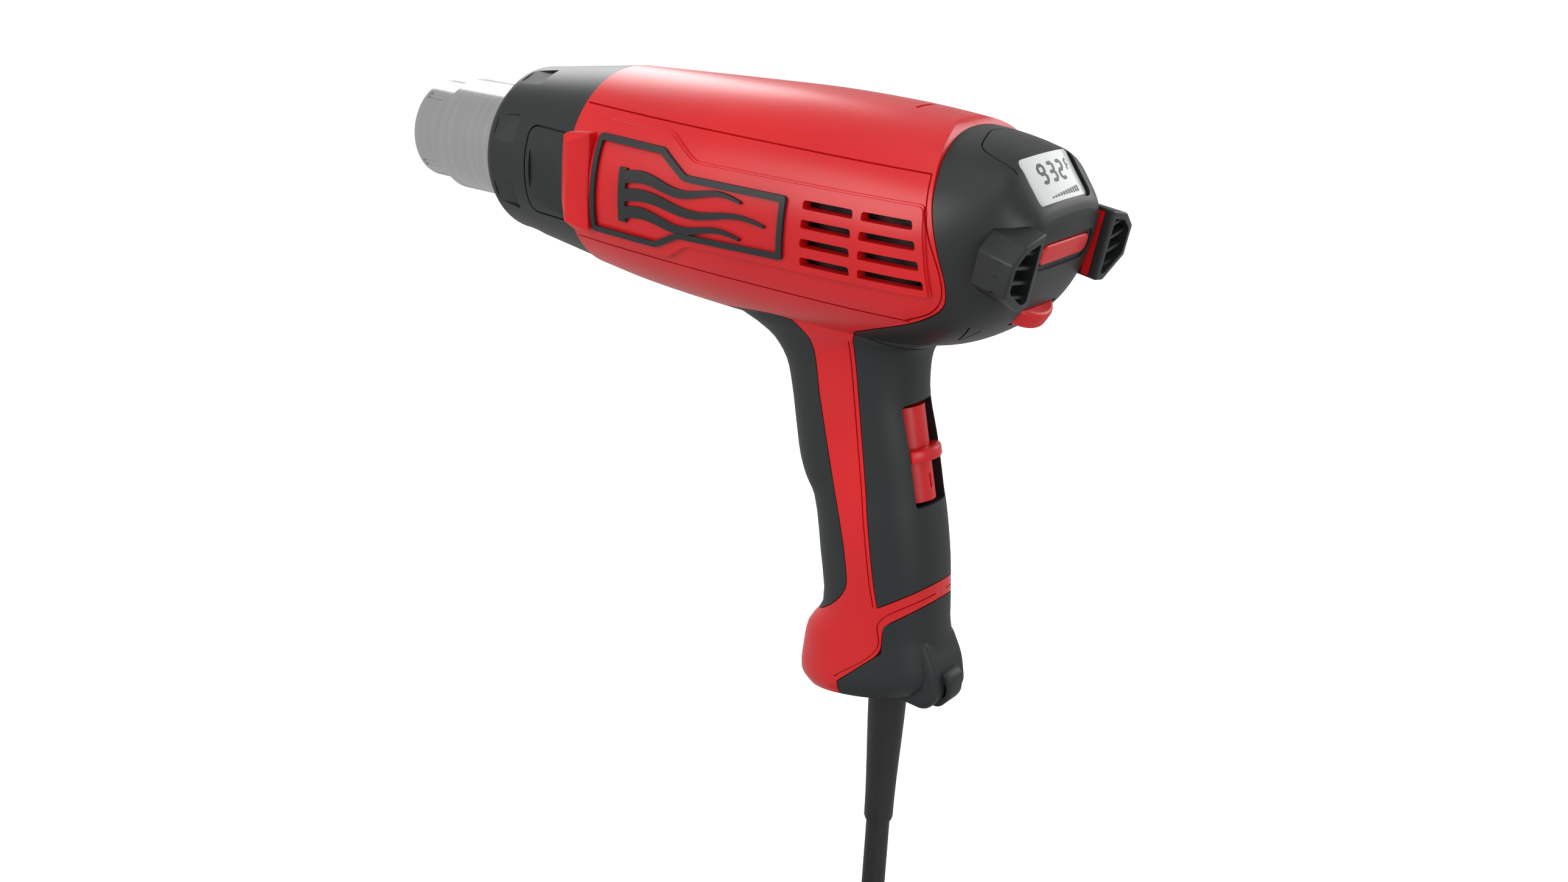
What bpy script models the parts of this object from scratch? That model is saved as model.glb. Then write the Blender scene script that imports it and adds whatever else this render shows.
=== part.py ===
"""Hand-held heat gun with a slide switch, a display and a thumbwheel.

Sizes are in millimetres and become metres through MM. Everything is laid out in the
gun's own frame: x runs from the nozzle's rim to the rear, z is measured from the
nozzle's axis, and -y is the left side. That frame hangs on one empty, which puts the
middle of the handle at the world's origin.
"""

import math

import bmesh
import bpy
from mathutils import Matrix, Vector

MM = 0.001
GRIP_CENTRE = (190.0, 0.0, -80.0)
GAP = 0.3

# Outlet
NOZZLE_RADIUS = 17.0
TUBE_RADIUS = 19.4
NOZZLE_WALL = 0.9
SHOULDER_X = 12.4
NOZZLE_END_X = 62.0
COLLAR_FRONT_X = 43.5
COLLAR_REAR_X = 87.1
COLLAR_WALL = 2.8

# Barrel stations: x, half width, top, bottom, height of the centre, squareness
BARREL = (
    (87.4, 33.4, 33.2, -33.4, 0.0, 2.1),
    (107.0, 35.0, 34.0, -35.6, 0.0, 2.15),
    (137.0, 36.6, 35.2, -37.3, 0.0, 2.2),
    (166.0, 37.0, 36.2, -38.0, 0.0, 2.2),
    (194.0, 37.0, 35.8, -37.0, 0.0, 2.2),
    (209.0, 36.5, 34.9, -35.0, 0.0, 2.2),
    (219.0, 35.7, 33.8, -32.8, 0.0, 2.25),
    (227.0, 34.2, 32.1, -29.8, 0.5, 2.35),
    (234.0, 31.8, 30.0, -25.8, 1.5, 2.5),
    (240.0, 28.8, 27.4, -20.6, 3.0, 2.7),
    (244.0, 26.0, 22.3, -14.4, 5.0, 2.8),
    (247.0, 22.8, 18.2, -6.8, 7.0, 2.9),
    (249.3, 19.0, 14.6, 1.5, 8.5, 3.0),
    (250.2, 16.0, 12.0, 5.0, 8.8, 3.0),
)
BARREL_WALL = 2.6
BARREL_CAVITY_END = 11
RING_POINTS = 24

# Handle stations: z, front x, rear x, half width
HANDLE = (
    (-24.0, 136.0, 214.0, 24.0),
    (-33.0, 135.0, 212.0, 22.0),
    (-37.5, 144.0, 207.5, 19.8),
    (-41.5, 152.0, 205.6, 18.9),
    (-48.0, 158.0, 205.0, 18.5),
    (-56.0, 160.8, 205.6, 18.5),
    (-68.0, 163.2, 209.2, 18.5),
    (-79.0, 165.6, 211.9, 18.5),
    (-85.0, 168.2, 213.2, 18.5),
    (-90.7, 172.0, 214.6, 18.5),
    (-108.0, 175.8, 217.6, 18.4),
    (-125.0, 179.0, 219.0, 18.6),
    (-133.0, 176.0, 219.6, 19.3),
    (-140.0, 172.4, 221.0, 20.0),
    (-148.5, 172.0, 222.4, 20.4),
    (-152.5, 174.4, 220.0, 18.6),
)
HANDLE_CAVITY_END = 13
HANDLE_CORE_END = 15
HANDLE_SQUARENESS = 2.3
HANDLE_POINTS = 20
END_SLOPE = 0.17
LEAN = math.atan2(16.5, 70.0)
GRIP_THICKNESS = 3.0
CORE_WALL = 2.0

# Outlines of the coloured regions in side view, as (x, z)
RED_REAR = (
    (213.4, 35.0),
    (215.2, 33.9),
    (216.8, 32.5),
    (218.3, 30.2),
    (221.2, 22.3),
    (223.3, 13.9),
    (227.0, 1.7),
    (229.6, -8.0),
    (228.4, -14.3),
    (220.0, -20.4),
    (199.0, -28.5),
    (193.0, -31.4),
)
BAND_REAR = (
    (191.3, -36.4),
    (192.3, -46.2),
    (197.5, -75.4),
    (203.7, -110.4),
    (206.0, -119.5),
)
STRIPE_TOP = (240.0, -98.2)
STRIPE_BOTTOM = (240.0, -102.0)
STRIPE_FOOT = (208.2, -125.4)
END_SEAM = ((208.5, -134.5), (194.6, -147.8), (194.9, -152.0))
CAP_SEAM = ((205.0, -35.6), (232.0, -45.0))
BAND_FRONT = (
    (133.0, -36.6),
    (145.0, -33.4),
    (168.0, -31.2),
    (172.6, -33.0),
    (176.2, -37.4),
    (179.7, -53.7),
    (186.0, -78.1),
    (193.5, -108.0),
    (194.0, -116.0),
    (188.0, -124.0),
    (171.0, -138.5),
)
ABOVE = 60.0
BELOW = -190.0

# Side panel
RELIEF_SINK = 1.4
PLATEAU_HEIGHT = 1.2
PLATEAU = (
    (95.0, -15.4),
    (95.0, 15.0),
    (101.3, 21.6),
    (128.8, 21.4),
    (141.0, 14.4),
    (222.0, 14.4),
    (226.1, -11.9),
    (139.9, -12.2),
    (130.5, -18.0),
    (104.0, -18.0),
)
LUG = ((87.6, 5.1), (90.1, 16.0), (99.2, 17.0), (99.2, -14.4), (93.6, -15.0), (87.6, -5.0))
LUG_PLAN = ((87.6, -20.0), (87.6, -37.6), (92.6, -38.8), (99.2, -36.9), (99.2, -20.0))
BADGE_FRAME = (
    (101.7, 17.2),
    (129.1, 16.8),
    (139.6, 10.3),
    (177.6, 10.2),
    (177.1, -8.9),
    (137.6, -9.7),
    (127.6, -14.5),
    (99.8, -14.2),
)
BADGE_BAR = 1.9
BADGE_PROUD = 1.0
EMBLEM_STREAK_LENGTH = 54.0
EMBLEM_STREAK_THICKNESS = 2.6
VENT_ROW_TOPS = (10.0, 4.4, -1.2, -6.8)
VENT_HEIGHT = 2.6
VENT_COLUMNS = ((183.2, 200.0), (203.2, 219.3))
VENT_SLANT = 1.5

# Rear controls
DISPLAY_CENTRE = (244.1, 0.0, 22.0)
DISPLAY_NORMAL = Vector((11.9, 0.0, 8.7)).normalized()
DISPLAY_SIZE = (28.2, 14.7)
BUTTON_CENTRE = (248.3, 0.0, 1.4)
BUTTON_NORMAL = Vector((0.97, 0.0, -0.25)).normalized()
BUTTON_SIZE = (28.0, 6.2)
BUTTON_DEPTH = 6.0
BUTTON_PROUD = 0.9
WHEEL_RADIUS = 12.5
WHEEL_THICKNESS = 6.0
WHEEL_OUTWARD = Vector((0.85, 0.0, -0.527)).normalized()
WHEEL_AXIS = Vector((0.527, 0.0, 0.85)).normalized()
WHEEL_CENTRE = Vector((233.9, 0.0, -14.8))
POST_RADIUS = 2.2

# Bumpers: outline across the leaning rear face, as (y, height) on the right side
BUMPER = (
    (20.6, -11.9),
    (20.6, 10.2),
    (31.0, 8.0),
    (36.8, 3.4),
    (36.8, -6.5),
    (26.0, -12.8),
)
BUMPER_LEAN = math.radians(10.0)
BUMPER_NORMAL = Vector((math.cos(BUMPER_LEAN), 0.0, -math.sin(BUMPER_LEAN)))
BUMPER_CENTRE = Vector((251.9, 0.0, 0.0))
BUMPER_DEPTH = 13.0
BUMPER_RIM = 2.2
BUMPER_POCKET = 5.0
RIB_COUNT = 4
RIB_THICKNESS = 1.2
STRIPE_BEHIND_RIM = 2.9
STRIPE_WIDTH = 2.4

# Hanging eye on the heel, in side view
EYE = (
    (217.0, -141.0),
    (224.5, -140.2),
    (227.2, -142.6),
    (227.0, -149.6),
    (222.6, -154.4),
    (214.0, -154.0),
)
EYE_HOLE = (224.6, -147.0)

# Slide switch: a column along the handle's back
SWITCH_TOP_Z = -54.5
SWITCH_BOTTOM_Z = -86.5
SWITCH_HALF_WIDTH = 8.0
SWITCH_MIDDLE = (209.2, -71.0)
TRACK_RADIUS = 6.8
TAB_RADIUS = 9.0
TAB_HEIGHT = 4.0
SWITCH_TRAVEL = 6.0

# Cord
SLEEVE_X = 201.8
SLEEVE_TOP_Z = -128.0
SLEEVE_FLANGE_RADIUS = 8.2
SLEEVE_FLANGE_HEIGHT = 2.4
SLEEVE_END_Z = -205.0
SLEEVE_TOP_RADIUS = 6.4
SLEEVE_END_RADIUS = 4.9
CORD_RADIUS = 4.0
SURFACE_Z = -292.0
COIL_CENTRE = (166.0, -63.4)
COIL_MEAN_RADIUS = 47.0
COIL_ACROSS = 3
COIL_LAYERS = 2
COIL_LIFT = 1.5
CORD_ROUTE = (
    (201.8, 0.0, -205.3),
    (201.8, 0.0, -222.0),
    (201.6, 0.0, -238.0),
    (199.6, 0.0, -254.0),
    (194.0, 0.0, -268.5),
    (184.0, 0.0, -280.5),
    (170.0, 0.0, -287.2),
    (158.0, 0.0, -288.0),
)
TAIL_START_X = 160.0
PLUG_START_X = 206.0
PLUG_END_X = 242.0
PLUG_RADIUS = 12.0
BLADE_LENGTH = 16.0

# Heater and blower
HEATER_TUBE_RADIUS = 15.4
MOTOR_RADIUS = 17.5
MOTOR_FRONT_X = 146.0
MOTOR_REAR_X = 196.0
SHAFT_RADIUS = 1.5
FAN_RADIUS = 21.5
FAN_FRONT_X = 118.0
FAN_BACK_X = 134.0
FAN_BLADES = 8
MOUNT_PORT_RADIUS = 24.5

# Housing screws: x, z and how far out their heads sit
SCREWS = (
    (117.0, 28.4, 12.5),
    (207.0, 26.0, 17.5),
    (124.0, -29.5, 13.5),
    (196.0, -97.0, 13.4),
    (190.0, -141.0, 14.2),
)
SCREW_RADIUS = 1.5
SCREW_HEAD_RADIUS = 2.9
BOSS_RADIUS = 3.4

COLOURS = {
    "red": ((0.80, 0.02, 0.02), 0.35, 0.0),
    "black": ((0.018, 0.02, 0.02), 0.5, 0.0),
    "rubber": ((0.012, 0.012, 0.012), 0.7, 0.0),
    "steel": ((0.62, 0.62, 0.60), 0.3, 1.0),
    "copper": ((0.7, 0.35, 0.2), 0.35, 1.0),
    "brass": ((0.75, 0.6, 0.3), 0.3, 1.0),
    "mica": ((0.75, 0.68, 0.52), 0.6, 0.0),
    "display": ((0.78, 0.80, 0.80), 0.2, 0.0),
    "board": ((0.03, 0.25, 0.09), 0.5, 0.0),
    "white": ((0.8, 0.8, 0.78), 0.5, 0.0),
}


# Scene set-up and small helpers


def clear_scene():
    for obj in list(bpy.data.objects):
        bpy.data.objects.remove(obj, do_unlink=True)


def collection(name):
    made = bpy.data.collections.new(name)
    bpy.context.scene.collection.children.link(made)
    return made


def gun_frame():
    """The empty that carries the gun, with the middle of the grip at the origin."""
    frame = bpy.data.objects.new("gun_frame", None)
    frame.location = -Vector(GRIP_CENTRE) * MM
    return frame


clear_scene()
PARTS = collection("heat_gun")
CUTTERS = collection("cutters")
FRAME = gun_frame()
PARTS.objects.link(FRAME)


def material(name):
    found = bpy.data.materials.get(name)
    if found:
        return found
    colour, roughness, metallic = COLOURS[name]
    made = bpy.data.materials.new(name)
    made.use_nodes = True
    shader = made.node_tree.nodes["Principled BSDF"]
    shader.inputs["Base Color"].default_value = (*colour, 1.0)
    shader.inputs["Roughness"].default_value = roughness
    shader.inputs["Metallic"].default_value = metallic
    return made


def add_object(name, data, parent=None):
    """A guide object in the cutters' collection, until finish() makes it a part."""
    obj = bpy.data.objects.new(name, data)
    obj.parent = parent or FRAME
    obj.hide_render = True
    obj.display_type = "WIRE"
    CUTTERS.objects.link(obj)
    return obj


def finish(obj, name, colour):
    """Make a guide object a named part with its own material."""
    obj.name = name
    obj.data.materials.clear()
    obj.data.materials.append(material(colour))
    obj.hide_render = False
    obj.display_type = "TEXTURED"
    CUTTERS.objects.unlink(obj)
    PARTS.objects.link(obj)
    if obj.type == "MESH":
        obj.data.shade_smooth()
        obj.data.set_sharp_from_angle(angle=math.radians(35))
    return obj


def evaluated_mesh(obj):
    bpy.context.view_layer.update()
    depsgraph = bpy.context.evaluated_depsgraph_get()
    return bpy.data.meshes.new_from_object(obj.evaluated_get(depsgraph))


def bake(obj):
    """Give the object its evaluated mesh and drop its modifiers."""
    mesh = evaluated_mesh(obj)
    obj.modifiers.clear()
    obj.data = mesh
    bm = bmesh.new()
    bm.from_mesh(mesh)
    bmesh.ops.remove_doubles(bm, verts=bm.verts, dist=0.000002)
    bm.to_mesh(mesh)
    bm.free()
    return obj


def duplicate(obj, name):
    return add_object(name, obj.data.copy(), obj.parent)


def combine(target, other, operation):
    """Join, cut or intersect: UNION, DIFFERENCE or INTERSECT."""
    modifier = target.modifiers.new(operation.lower(), "BOOLEAN")
    modifier.operation = operation
    modifier.solver = "EXACT"
    modifier.object = other
    return bake(target)


def mesh_object(name, bm):
    mesh = bpy.data.meshes.new(name)
    bm.to_mesh(mesh)
    bm.free()
    return add_object(name, mesh)


# Shapes


def box(name, low, high):
    bm = bmesh.new()
    bmesh.ops.create_cube(bm, size=1.0)
    low, high = Vector(low) * MM, Vector(high) * MM
    size = high - low
    bmesh.ops.scale(bm, vec=size, verts=bm.verts)
    bmesh.ops.translate(bm, vec=(low + high) / 2, verts=bm.verts)
    return mesh_object(name, bm)


def rod(name, start, end, radius, end_radius=None, sides=20):
    """A cylinder or cone between two points."""
    start, end = Vector(start) * MM, Vector(end) * MM
    along = end - start
    bm = bmesh.new()
    bmesh.ops.create_cone(
        bm,
        cap_ends=True,
        segments=sides,
        radius1=radius * MM,
        radius2=(radius if end_radius is None else end_radius) * MM,
        depth=along.length,
    )
    turn = along.to_track_quat("Z", "Y").to_matrix().to_4x4()
    bmesh.ops.transform(bm, matrix=Matrix.Translation((start + end) / 2) @ turn, verts=bm.verts)
    return mesh_object(name, bm)


def turned(name, profile, base=(0.0, 0.0, 0.0), axis=(-1.0, 0.0, 0.0), steps=32):
    """A ring turned about an axis through base.

    The profile is a loop of (distance behind base, radius), which runs back along the
    outer side and forward along the bore.
    """
    points = [(radius * MM, 0.0, -behind * MM) for behind, radius in profile]
    mesh = bpy.data.meshes.new(name)
    edges = [(i, (i + 1) % len(points)) for i in range(len(points))]
    mesh.from_pydata(points, edges, [])
    obj = add_object(name, mesh)
    obj.location = Vector(base) * MM
    obj.rotation_mode = "QUATERNION"
    obj.rotation_quaternion = Vector(axis).to_track_quat("Z", "Y")
    screw = obj.modifiers.new("turn", "SCREW")
    screw.angle = 2 * math.pi
    screw.steps = steps
    screw.render_steps = steps
    screw.use_merge_vertices = True
    screw.merge_threshold = 0.00001
    return obj


def plate(name, outline, thickness, matrix=None):
    """A flat outline, centred on its plane, as a welded mesh.

    Without a matrix the outline's (x, z) lie in the gun's side view and the
    thickness runs along y.
    """
    curve = bpy.data.curves.new(name, "CURVE")
    curve.dimensions = "2D"
    curve.fill_mode = "BOTH"
    curve.extrude = thickness / 2 * MM
    spline = curve.splines.new("POLY")
    spline.points.add(len(outline) - 1)
    for point, (u, v) in zip(spline.points, outline):
        point.co = (u * MM, v * MM, 0.0, 1.0)
    spline.use_cyclic_u = True
    flat = add_object(name + "_flat", curve)
    bm = bmesh.new()
    mesh = evaluated_mesh(flat)
    bm.from_mesh(mesh)
    bpy.data.meshes.remove(mesh)
    bpy.data.objects.remove(flat)
    bmesh.ops.remove_doubles(bm, verts=bm.verts, dist=0.000001)
    stand_up = Matrix.Rotation(math.radians(90), 4, "X")
    bmesh.ops.transform(bm, matrix=matrix or stand_up, verts=bm.verts)
    bmesh.ops.recalc_face_normals(bm, faces=bm.faces)
    return mesh_object(name, bm)


def facing(centre, normal, across=(0.0, 1.0, 0.0)):
    """A matrix whose z is the normal and whose x runs across, placed at centre."""
    z_axis = Vector(normal).normalized()
    x_axis = Vector(across).normalized()
    y_axis = z_axis.cross(x_axis)
    turn = Matrix((x_axis, y_axis, z_axis)).transposed().to_4x4()
    return Matrix.Translation(Vector(centre) * MM) @ turn


def rounded_rectangle(width, height, radius, steps=3):
    """Points of a rectangle with round corners, anticlockwise."""
    points = []
    corners = ((1, 1, 0), (-1, 1, 90), (-1, -1, 180), (1, -1, 270))
    for side_x, side_y, start in corners:
        centre_x = side_x * (width / 2 - radius)
        centre_y = side_y * (height / 2 - radius)
        for step in range(steps + 1):
            angle = math.radians(start + 90 * step / steps)
            points.append((centre_x + radius * math.cos(angle), centre_y + radius * math.sin(angle)))
    return points


def inset(outline, distance):
    """Move each side of a polygon inwards; a negative distance moves it out."""
    count = len(outline)
    area = sum(
        outline[i][0] * outline[(i + 1) % count][1] - outline[(i + 1) % count][0] * outline[i][1]
        for i in range(count)
    )
    inward = distance if area > 0 else -distance
    lines = []
    for i in range(count):
        start = Vector(outline[i])
        along = (Vector(outline[(i + 1) % count]) - start).normalized()
        lines.append((start + inward * Vector((-along.y, along.x)), along))
    moved = []
    for i in range(count):
        (point_a, along_a), (point_b, along_b) = lines[i - 1], lines[i]
        crossing = along_a.x * along_b.y - along_a.y * along_b.x
        if abs(crossing) < 0.02:
            moved.append(tuple(point_b))
            continue
        between = point_b - point_a
        reach = (between.x * along_b.y - between.y * along_b.x) / crossing
        moved.append(tuple(point_a + reach * along_a))
    return moved


def loft(name, rings):
    """A closed solid through rings that hold the same number of points."""
    bm = bmesh.new()
    loops = [[bm.verts.new(point * MM) for point in ring] for ring in rings]
    count = len(loops[0])
    for here, after in zip(loops, loops[1:]):
        for i in range(count):
            j = (i + 1) % count
            bm.faces.new((here[i], here[j], after[j], after[i]))
    bm.faces.new(list(reversed(loops[0])))
    bm.faces.new(loops[-1])
    bmesh.ops.recalc_face_normals(bm, faces=bm.faces)
    bmesh.ops.triangulate(bm, faces=bm.faces)
    return mesh_object(name, bm)


def superellipse(angle, squareness):
    cosine, sine = round(math.cos(angle), 9), round(math.sin(angle), 9)
    power = 2.0 / squareness
    return (
        math.copysign(abs(cosine) ** power, cosine),
        math.copysign(abs(sine) ** power, sine),
    )


def barrel_ring(station, offset, count):
    x, half_width, top, bottom, centre_z, squareness = station
    ring = []
    for i in range(count):
        across, up = superellipse(2 * math.pi * i / count, squareness)
        reach = (top - centre_z if up > 0 else centre_z - bottom) + offset
        ring.append(Vector((x, across * (half_width + offset), centre_z + up * reach)))
    return ring


def barrel(name, offset=0.0, last=None, start_x=None, every=1):
    """The barrel's solid up to a station, grown or shrunk by offset.

    With every at 2, it has half the stations and half the points.
    """
    stations = BARREL[:last:every]
    rings = [barrel_ring(station, offset, RING_POINTS // every) for station in stations]
    if start_x is not None:
        rings[0] = [Vector((start_x, point.y, point.z)) for point in rings[0]]
    if offset and last is None:
        for point in rings[-1]:
            point.x += offset
    return loft(name, rings)


def handle_ring(station, offset, count):
    z, front, rear, half_width = station
    middle, half_depth = (front + rear) / 2, (rear - front) / 2
    slope = END_SLOPE * min(1.0, max(0.0, (-90.0 - z) / 50.0))
    ring = []
    for i in range(count):
        along, across = superellipse(2 * math.pi * i / count, HANDLE_SQUARENESS)
        x = middle + along * (half_depth + offset)
        ring.append(Vector((x, across * (half_width + offset), z + slope * (x - middle))))
    return ring


def handle(name, offset=0.0, last=None, drop=0.0, every=1):
    """The handle's solid down to a station, whose ring is lowered by drop."""
    stations = HANDLE[:last:every]
    rings = [handle_ring(station, offset, HANDLE_POINTS // every) for station in stations]
    for point in rings[-1]:
        point.z -= drop
    return loft(name, rings)


def region(name, outline):
    """A prism across the whole gun, 0.15 mm inside its outline."""
    return plate(name, inset(outline, GAP / 2), 140.0)


def mirrored(obj, name):
    """A copy on the other side of the gun's middle plane."""
    copy = duplicate(obj, name)
    bm = bmesh.new()
    bm.from_mesh(copy.data)
    bmesh.ops.scale(bm, vec=(1.0, -1.0, 1.0), verts=bm.verts)
    bmesh.ops.reverse_faces(bm, faces=bm.faces)
    bm.to_mesh(copy.data)
    bm.free()
    return copy


# Casing


def outer_body():
    body = barrel("outer_body")
    return combine(body, handle("outer_handle"), "UNION")


def red_region():
    outline = [(80.0, ABOVE), (RED_REAR[0][0], ABOVE), *RED_REAR, *BAND_REAR]
    outline += [STRIPE_TOP, STRIPE_BOTTOM, STRIPE_FOOT, *END_SEAM, (END_SEAM[-1][0], BELOW)]
    outline += [(150.0, BELOW), (150.0, -160.0), *reversed(BAND_FRONT), (125.0, -50.0), (80.0, -50.0)]
    return region("red_region", outline)


def front_grip_region():
    outline = [(124.9, -50.1), *BAND_FRONT, (149.9, -160.1)]
    return region("front_grip_region", outline)


def rear_grip_region():
    outline = [RED_REAR[-1], *CAP_SEAM, (STRIPE_TOP[0], -60.0), STRIPE_TOP, *reversed(BAND_REAR)]
    return region("rear_grip_region", outline)


def cap_region():
    outline = [(RED_REAR[0][0], ABOVE), *RED_REAR, *CAP_SEAM, (270.0, -45.0), (270.0, ABOVE)]
    return region("cap_region", outline)


def end_region():
    outline = [STRIPE_FOOT, STRIPE_BOTTOM, (STRIPE_BOTTOM[0], BELOW)]
    outline += [(END_SEAM[-1][0], BELOW), *reversed(END_SEAM)]
    return region("end_region", outline)


def handle_core_offset():
    return -(GRIP_THICKNESS + GAP + CORE_WALL)


def casing_cavity():
    """The hollow inside the barrel and the handle."""
    cavity = barrel("cavity", -BARREL_WALL, BARREL_CAVITY_END, start_x=80.0, every=2)
    hollow = handle("handle_hollow", handle_core_offset(), HANDLE_CAVITY_END, every=2)
    return combine(cavity, hollow, "UNION")


def vent_outlines():
    for row, top in enumerate(VENT_ROW_TOPS):
        bottom = top - VENT_HEIGHT
        for column, (start, end) in enumerate(VENT_COLUMNS):
            if column:
                end += VENT_SLANT * row
            yield ((start, top), (end, top), (end + 0.5, bottom), (start - 0.2, bottom))


def switch_line(distance, outward=0.0):
    """A point along the slide switch's own line, which leans with the handle."""
    x, z = SWITCH_MIDDLE
    return (
        x - distance * math.sin(LEAN) + outward * math.cos(LEAN),
        z + distance * math.cos(LEAN) + outward * math.sin(LEAN),
    )


def switch_window(name, half_width, clearance):
    """A block that cuts the switch's window through the handle's back."""
    half_length = (SWITCH_TOP_Z - SWITCH_BOTTOM_Z) / 2 + clearance
    corners = (
        switch_line(half_length, -7.0),
        switch_line(half_length, 20.0),
        switch_line(-half_length, 20.0),
        switch_line(-half_length, -7.0),
    )
    return plate(name, corners, 2 * (half_width + clearance))


def side_relief(name, outline, height):
    """A raised area that follows the barrel's left flank."""
    relief = barrel(name, height)
    combine(relief, plate(name + "_outline", outline, 140.0), "INTERSECT")
    combine(relief, barrel(name + "_inside", -RELIEF_SINK), "DIFFERENCE")
    left = box(name + "_left", (60.0, -80.0, -60.0), (260.0, -20.0, 60.0))
    return combine(relief, left, "INTERSECT")


def front_lug():
    """The wedge at the front of the raised panel."""
    lug = plate("lug", LUG, 140.0)
    plan = plate("lug_plan", LUG_PLAN, 60.0, facing((0, 0, 0), (0, 0, 1), (1, 0, 0)))
    combine(lug, plan, "INTERSECT")
    return combine(lug, barrel("lug_inside", -RELIEF_SINK), "DIFFERENCE")


def red_half():
    """The left clamshell half: barrel wall, raised panel, handle band and handle core."""
    half = duplicate(OUTER, "red_half")
    combine(half, red_region(), "INTERSECT")
    core = handle("core", -(GRIP_THICKNESS + GAP), HANDLE_CORE_END, every=2)
    combine(half, core, "UNION")
    combine(half, side_relief("plateau", PLATEAU, PLATEAU_HEIGHT), "UNION")
    combine(half, front_lug(), "UNION")
    combine(half, CAVITY, "DIFFERENCE")
    for number, outline in enumerate(vent_outlines()):
        combine(half, plate(f"vent_cut_{number}", outline, 120.0), "DIFFERENCE")
    combine(half, switch_window("core_window", SWITCH_HALF_WIDTH, 3.0), "DIFFERENCE")
    combine(half, box("top_slot", (198.0, -5.0, 34.0), (200.0, 5.0, 40.0)), "DIFFERENCE")
    combine(half, collar_seat(), "DIFFERENCE")
    combine(half, sleeve_passage(), "DIFFERENCE")
    left = box("left_side", (60.0, -80.0, -220.0), (270.0, -GAP / 2, 80.0))
    return combine(half, left, "INTERSECT")


def collar_seat():
    """Clears the casing's front from the collar's rear face."""
    return box("collar_seat", (60.0, -60.0, -60.0), (COLLAR_REAR_X + GAP, 60.0, 60.0))


def sleeve_passage():
    start = (SLEEVE_X, 0.0, SLEEVE_TOP_Z - 1.0)
    return rod("sleeve_passage", start, (SLEEVE_X, 0.0, BELOW), SLEEVE_TOP_RADIUS + GAP, sides=16)


def boss_limit():
    """What the bosses may fill: up to the walls, and not the grips' room."""
    limit = barrel("boss_limit", -0.8, every=2)
    core = handle("boss_core", -(GRIP_THICKNESS + GAP + 0.6), HANDLE_CORE_END, every=2)
    return combine(limit, core, "UNION")


def screw_hole(x, z, seat, side):
    """A blind hole on the left, and a through hole with a counterbore on the right."""
    radius = SCREW_RADIUS + GAP
    if side < 0:
        return rod("blind_hole", (x, 5.0, z), (x, -9.0, z), radius, sides=10)
    hole = rod("through_hole", (x, -5.0, z), (x, seat + 2.0, z), radius, sides=10)
    head = rod("counterbore", (x, seat, z), (x, 60.0, z), SCREW_HEAD_RADIUS + GAP, sides=14)
    return combine(hole, head, "UNION")


def add_bosses(half, side):
    """Screw bosses that reach from the wall to the middle plane."""
    for x, z, seat in SCREWS:
        boss = rod("boss", (x, side * 0.4, z), (x, side * 60.0, z), BOSS_RADIUS, sides=12)
        combine(boss, BOSS_LIMIT, "INTERSECT")
        combine(half, boss, "UNION")
        combine(half, screw_hole(x, z, seat, side), "DIFFERENCE")
    return half


def housings():
    left = red_half()
    right = mirrored(left, "right_half")
    for half, side, name in ((left, -1, "housing_left"), (right, 1, "housing_right")):
        add_bosses(half, side)
        finish(half, name, "red")


def housing_screws():
    for number, (x, z, seat) in enumerate(SCREWS):
        seat += GAP
        screw = rod("screw", (x, seat + 2.2, z), (x, seat, z), SCREW_HEAD_RADIUS, sides=14)
        shank = rod("shank", (x, seat + 1.0, z), (x, -7.5, z), SCREW_RADIUS, sides=10)
        combine(screw, shank, "UNION")
        slot = box("slot", (x - 0.5, seat + 1.4, z - 1.8), (x + 0.5, seat + 4.0, z + 1.8))
        combine(screw, slot, "DIFFERENCE")
        finish(screw, f"housing_screw_{number + 1}", "steel")


def side_trim():
    """The black frame and the emblem on each raised panel."""
    lift = PLATEAU_HEIGHT + GAP
    frame = barrel("frame", lift + BADGE_PROUD)
    combine(frame, barrel("frame_base", lift), "DIFFERENCE")
    combine(frame, plate("frame_outer", BADGE_FRAME, 140.0), "INTERSECT")
    combine(frame, plate("frame_inner", inset(BADGE_FRAME, BADGE_BAR), 140.0), "DIFFERENCE")
    combine(frame, box("frame_left", (60.0, -80.0, -60.0), (260.0, 0.0, 60.0)), "INTERSECT")
    emblem = barrel("emblem", lift + BADGE_PROUD)
    combine(emblem, barrel("emblem_base", lift), "DIFFERENCE")
    combine(emblem, emblem_cutter(), "INTERSECT")
    for piece, name in ((frame, "badge_frame"), (emblem, "badge_emblem")):
        finish(mirrored(piece, name + "_copy"), name + "_right", "black")
        finish(piece, name + "_left", "black")


def emblem_cutter():
    """One hot-air mark: a bar with three streaks that rise like waves from it."""
    base_x = 113.0
    corners = ((base_x, 8.5), (base_x + 3.0, 8.5), (base_x + 3.0, -8.5), (base_x, -8.5))
    bar = plate("emblem_bar", corners, 140.0)
    half = EMBLEM_STREAK_THICKNESS / 2
    for level in (5.5, 0.0, -5.5):
        length = EMBLEM_STREAK_LENGTH - abs(level) * 1.6
        steps = 8
        middle = []
        for i in range(steps + 1):
            share = i / steps
            middle.append((base_x + 1.5 + share * length, level + 1.2 * math.sin(share * 3 * math.pi)))
        upper = [(x, z + half * (1.15 - x_share(x, base_x, length))) for x, z in middle]
        lower = [(x, z - half * (1.15 - x_share(x, base_x, length))) for x, z in middle]
        streak = plate("emblem_streak", upper + lower[::-1], 140.0)
        combine(bar, streak, "UNION")
    left = box("emblem_left", (60.0, -80.0, -60.0), (260.0, -10.0, 60.0))
    return combine(bar, left, "INTERSECT")


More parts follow.
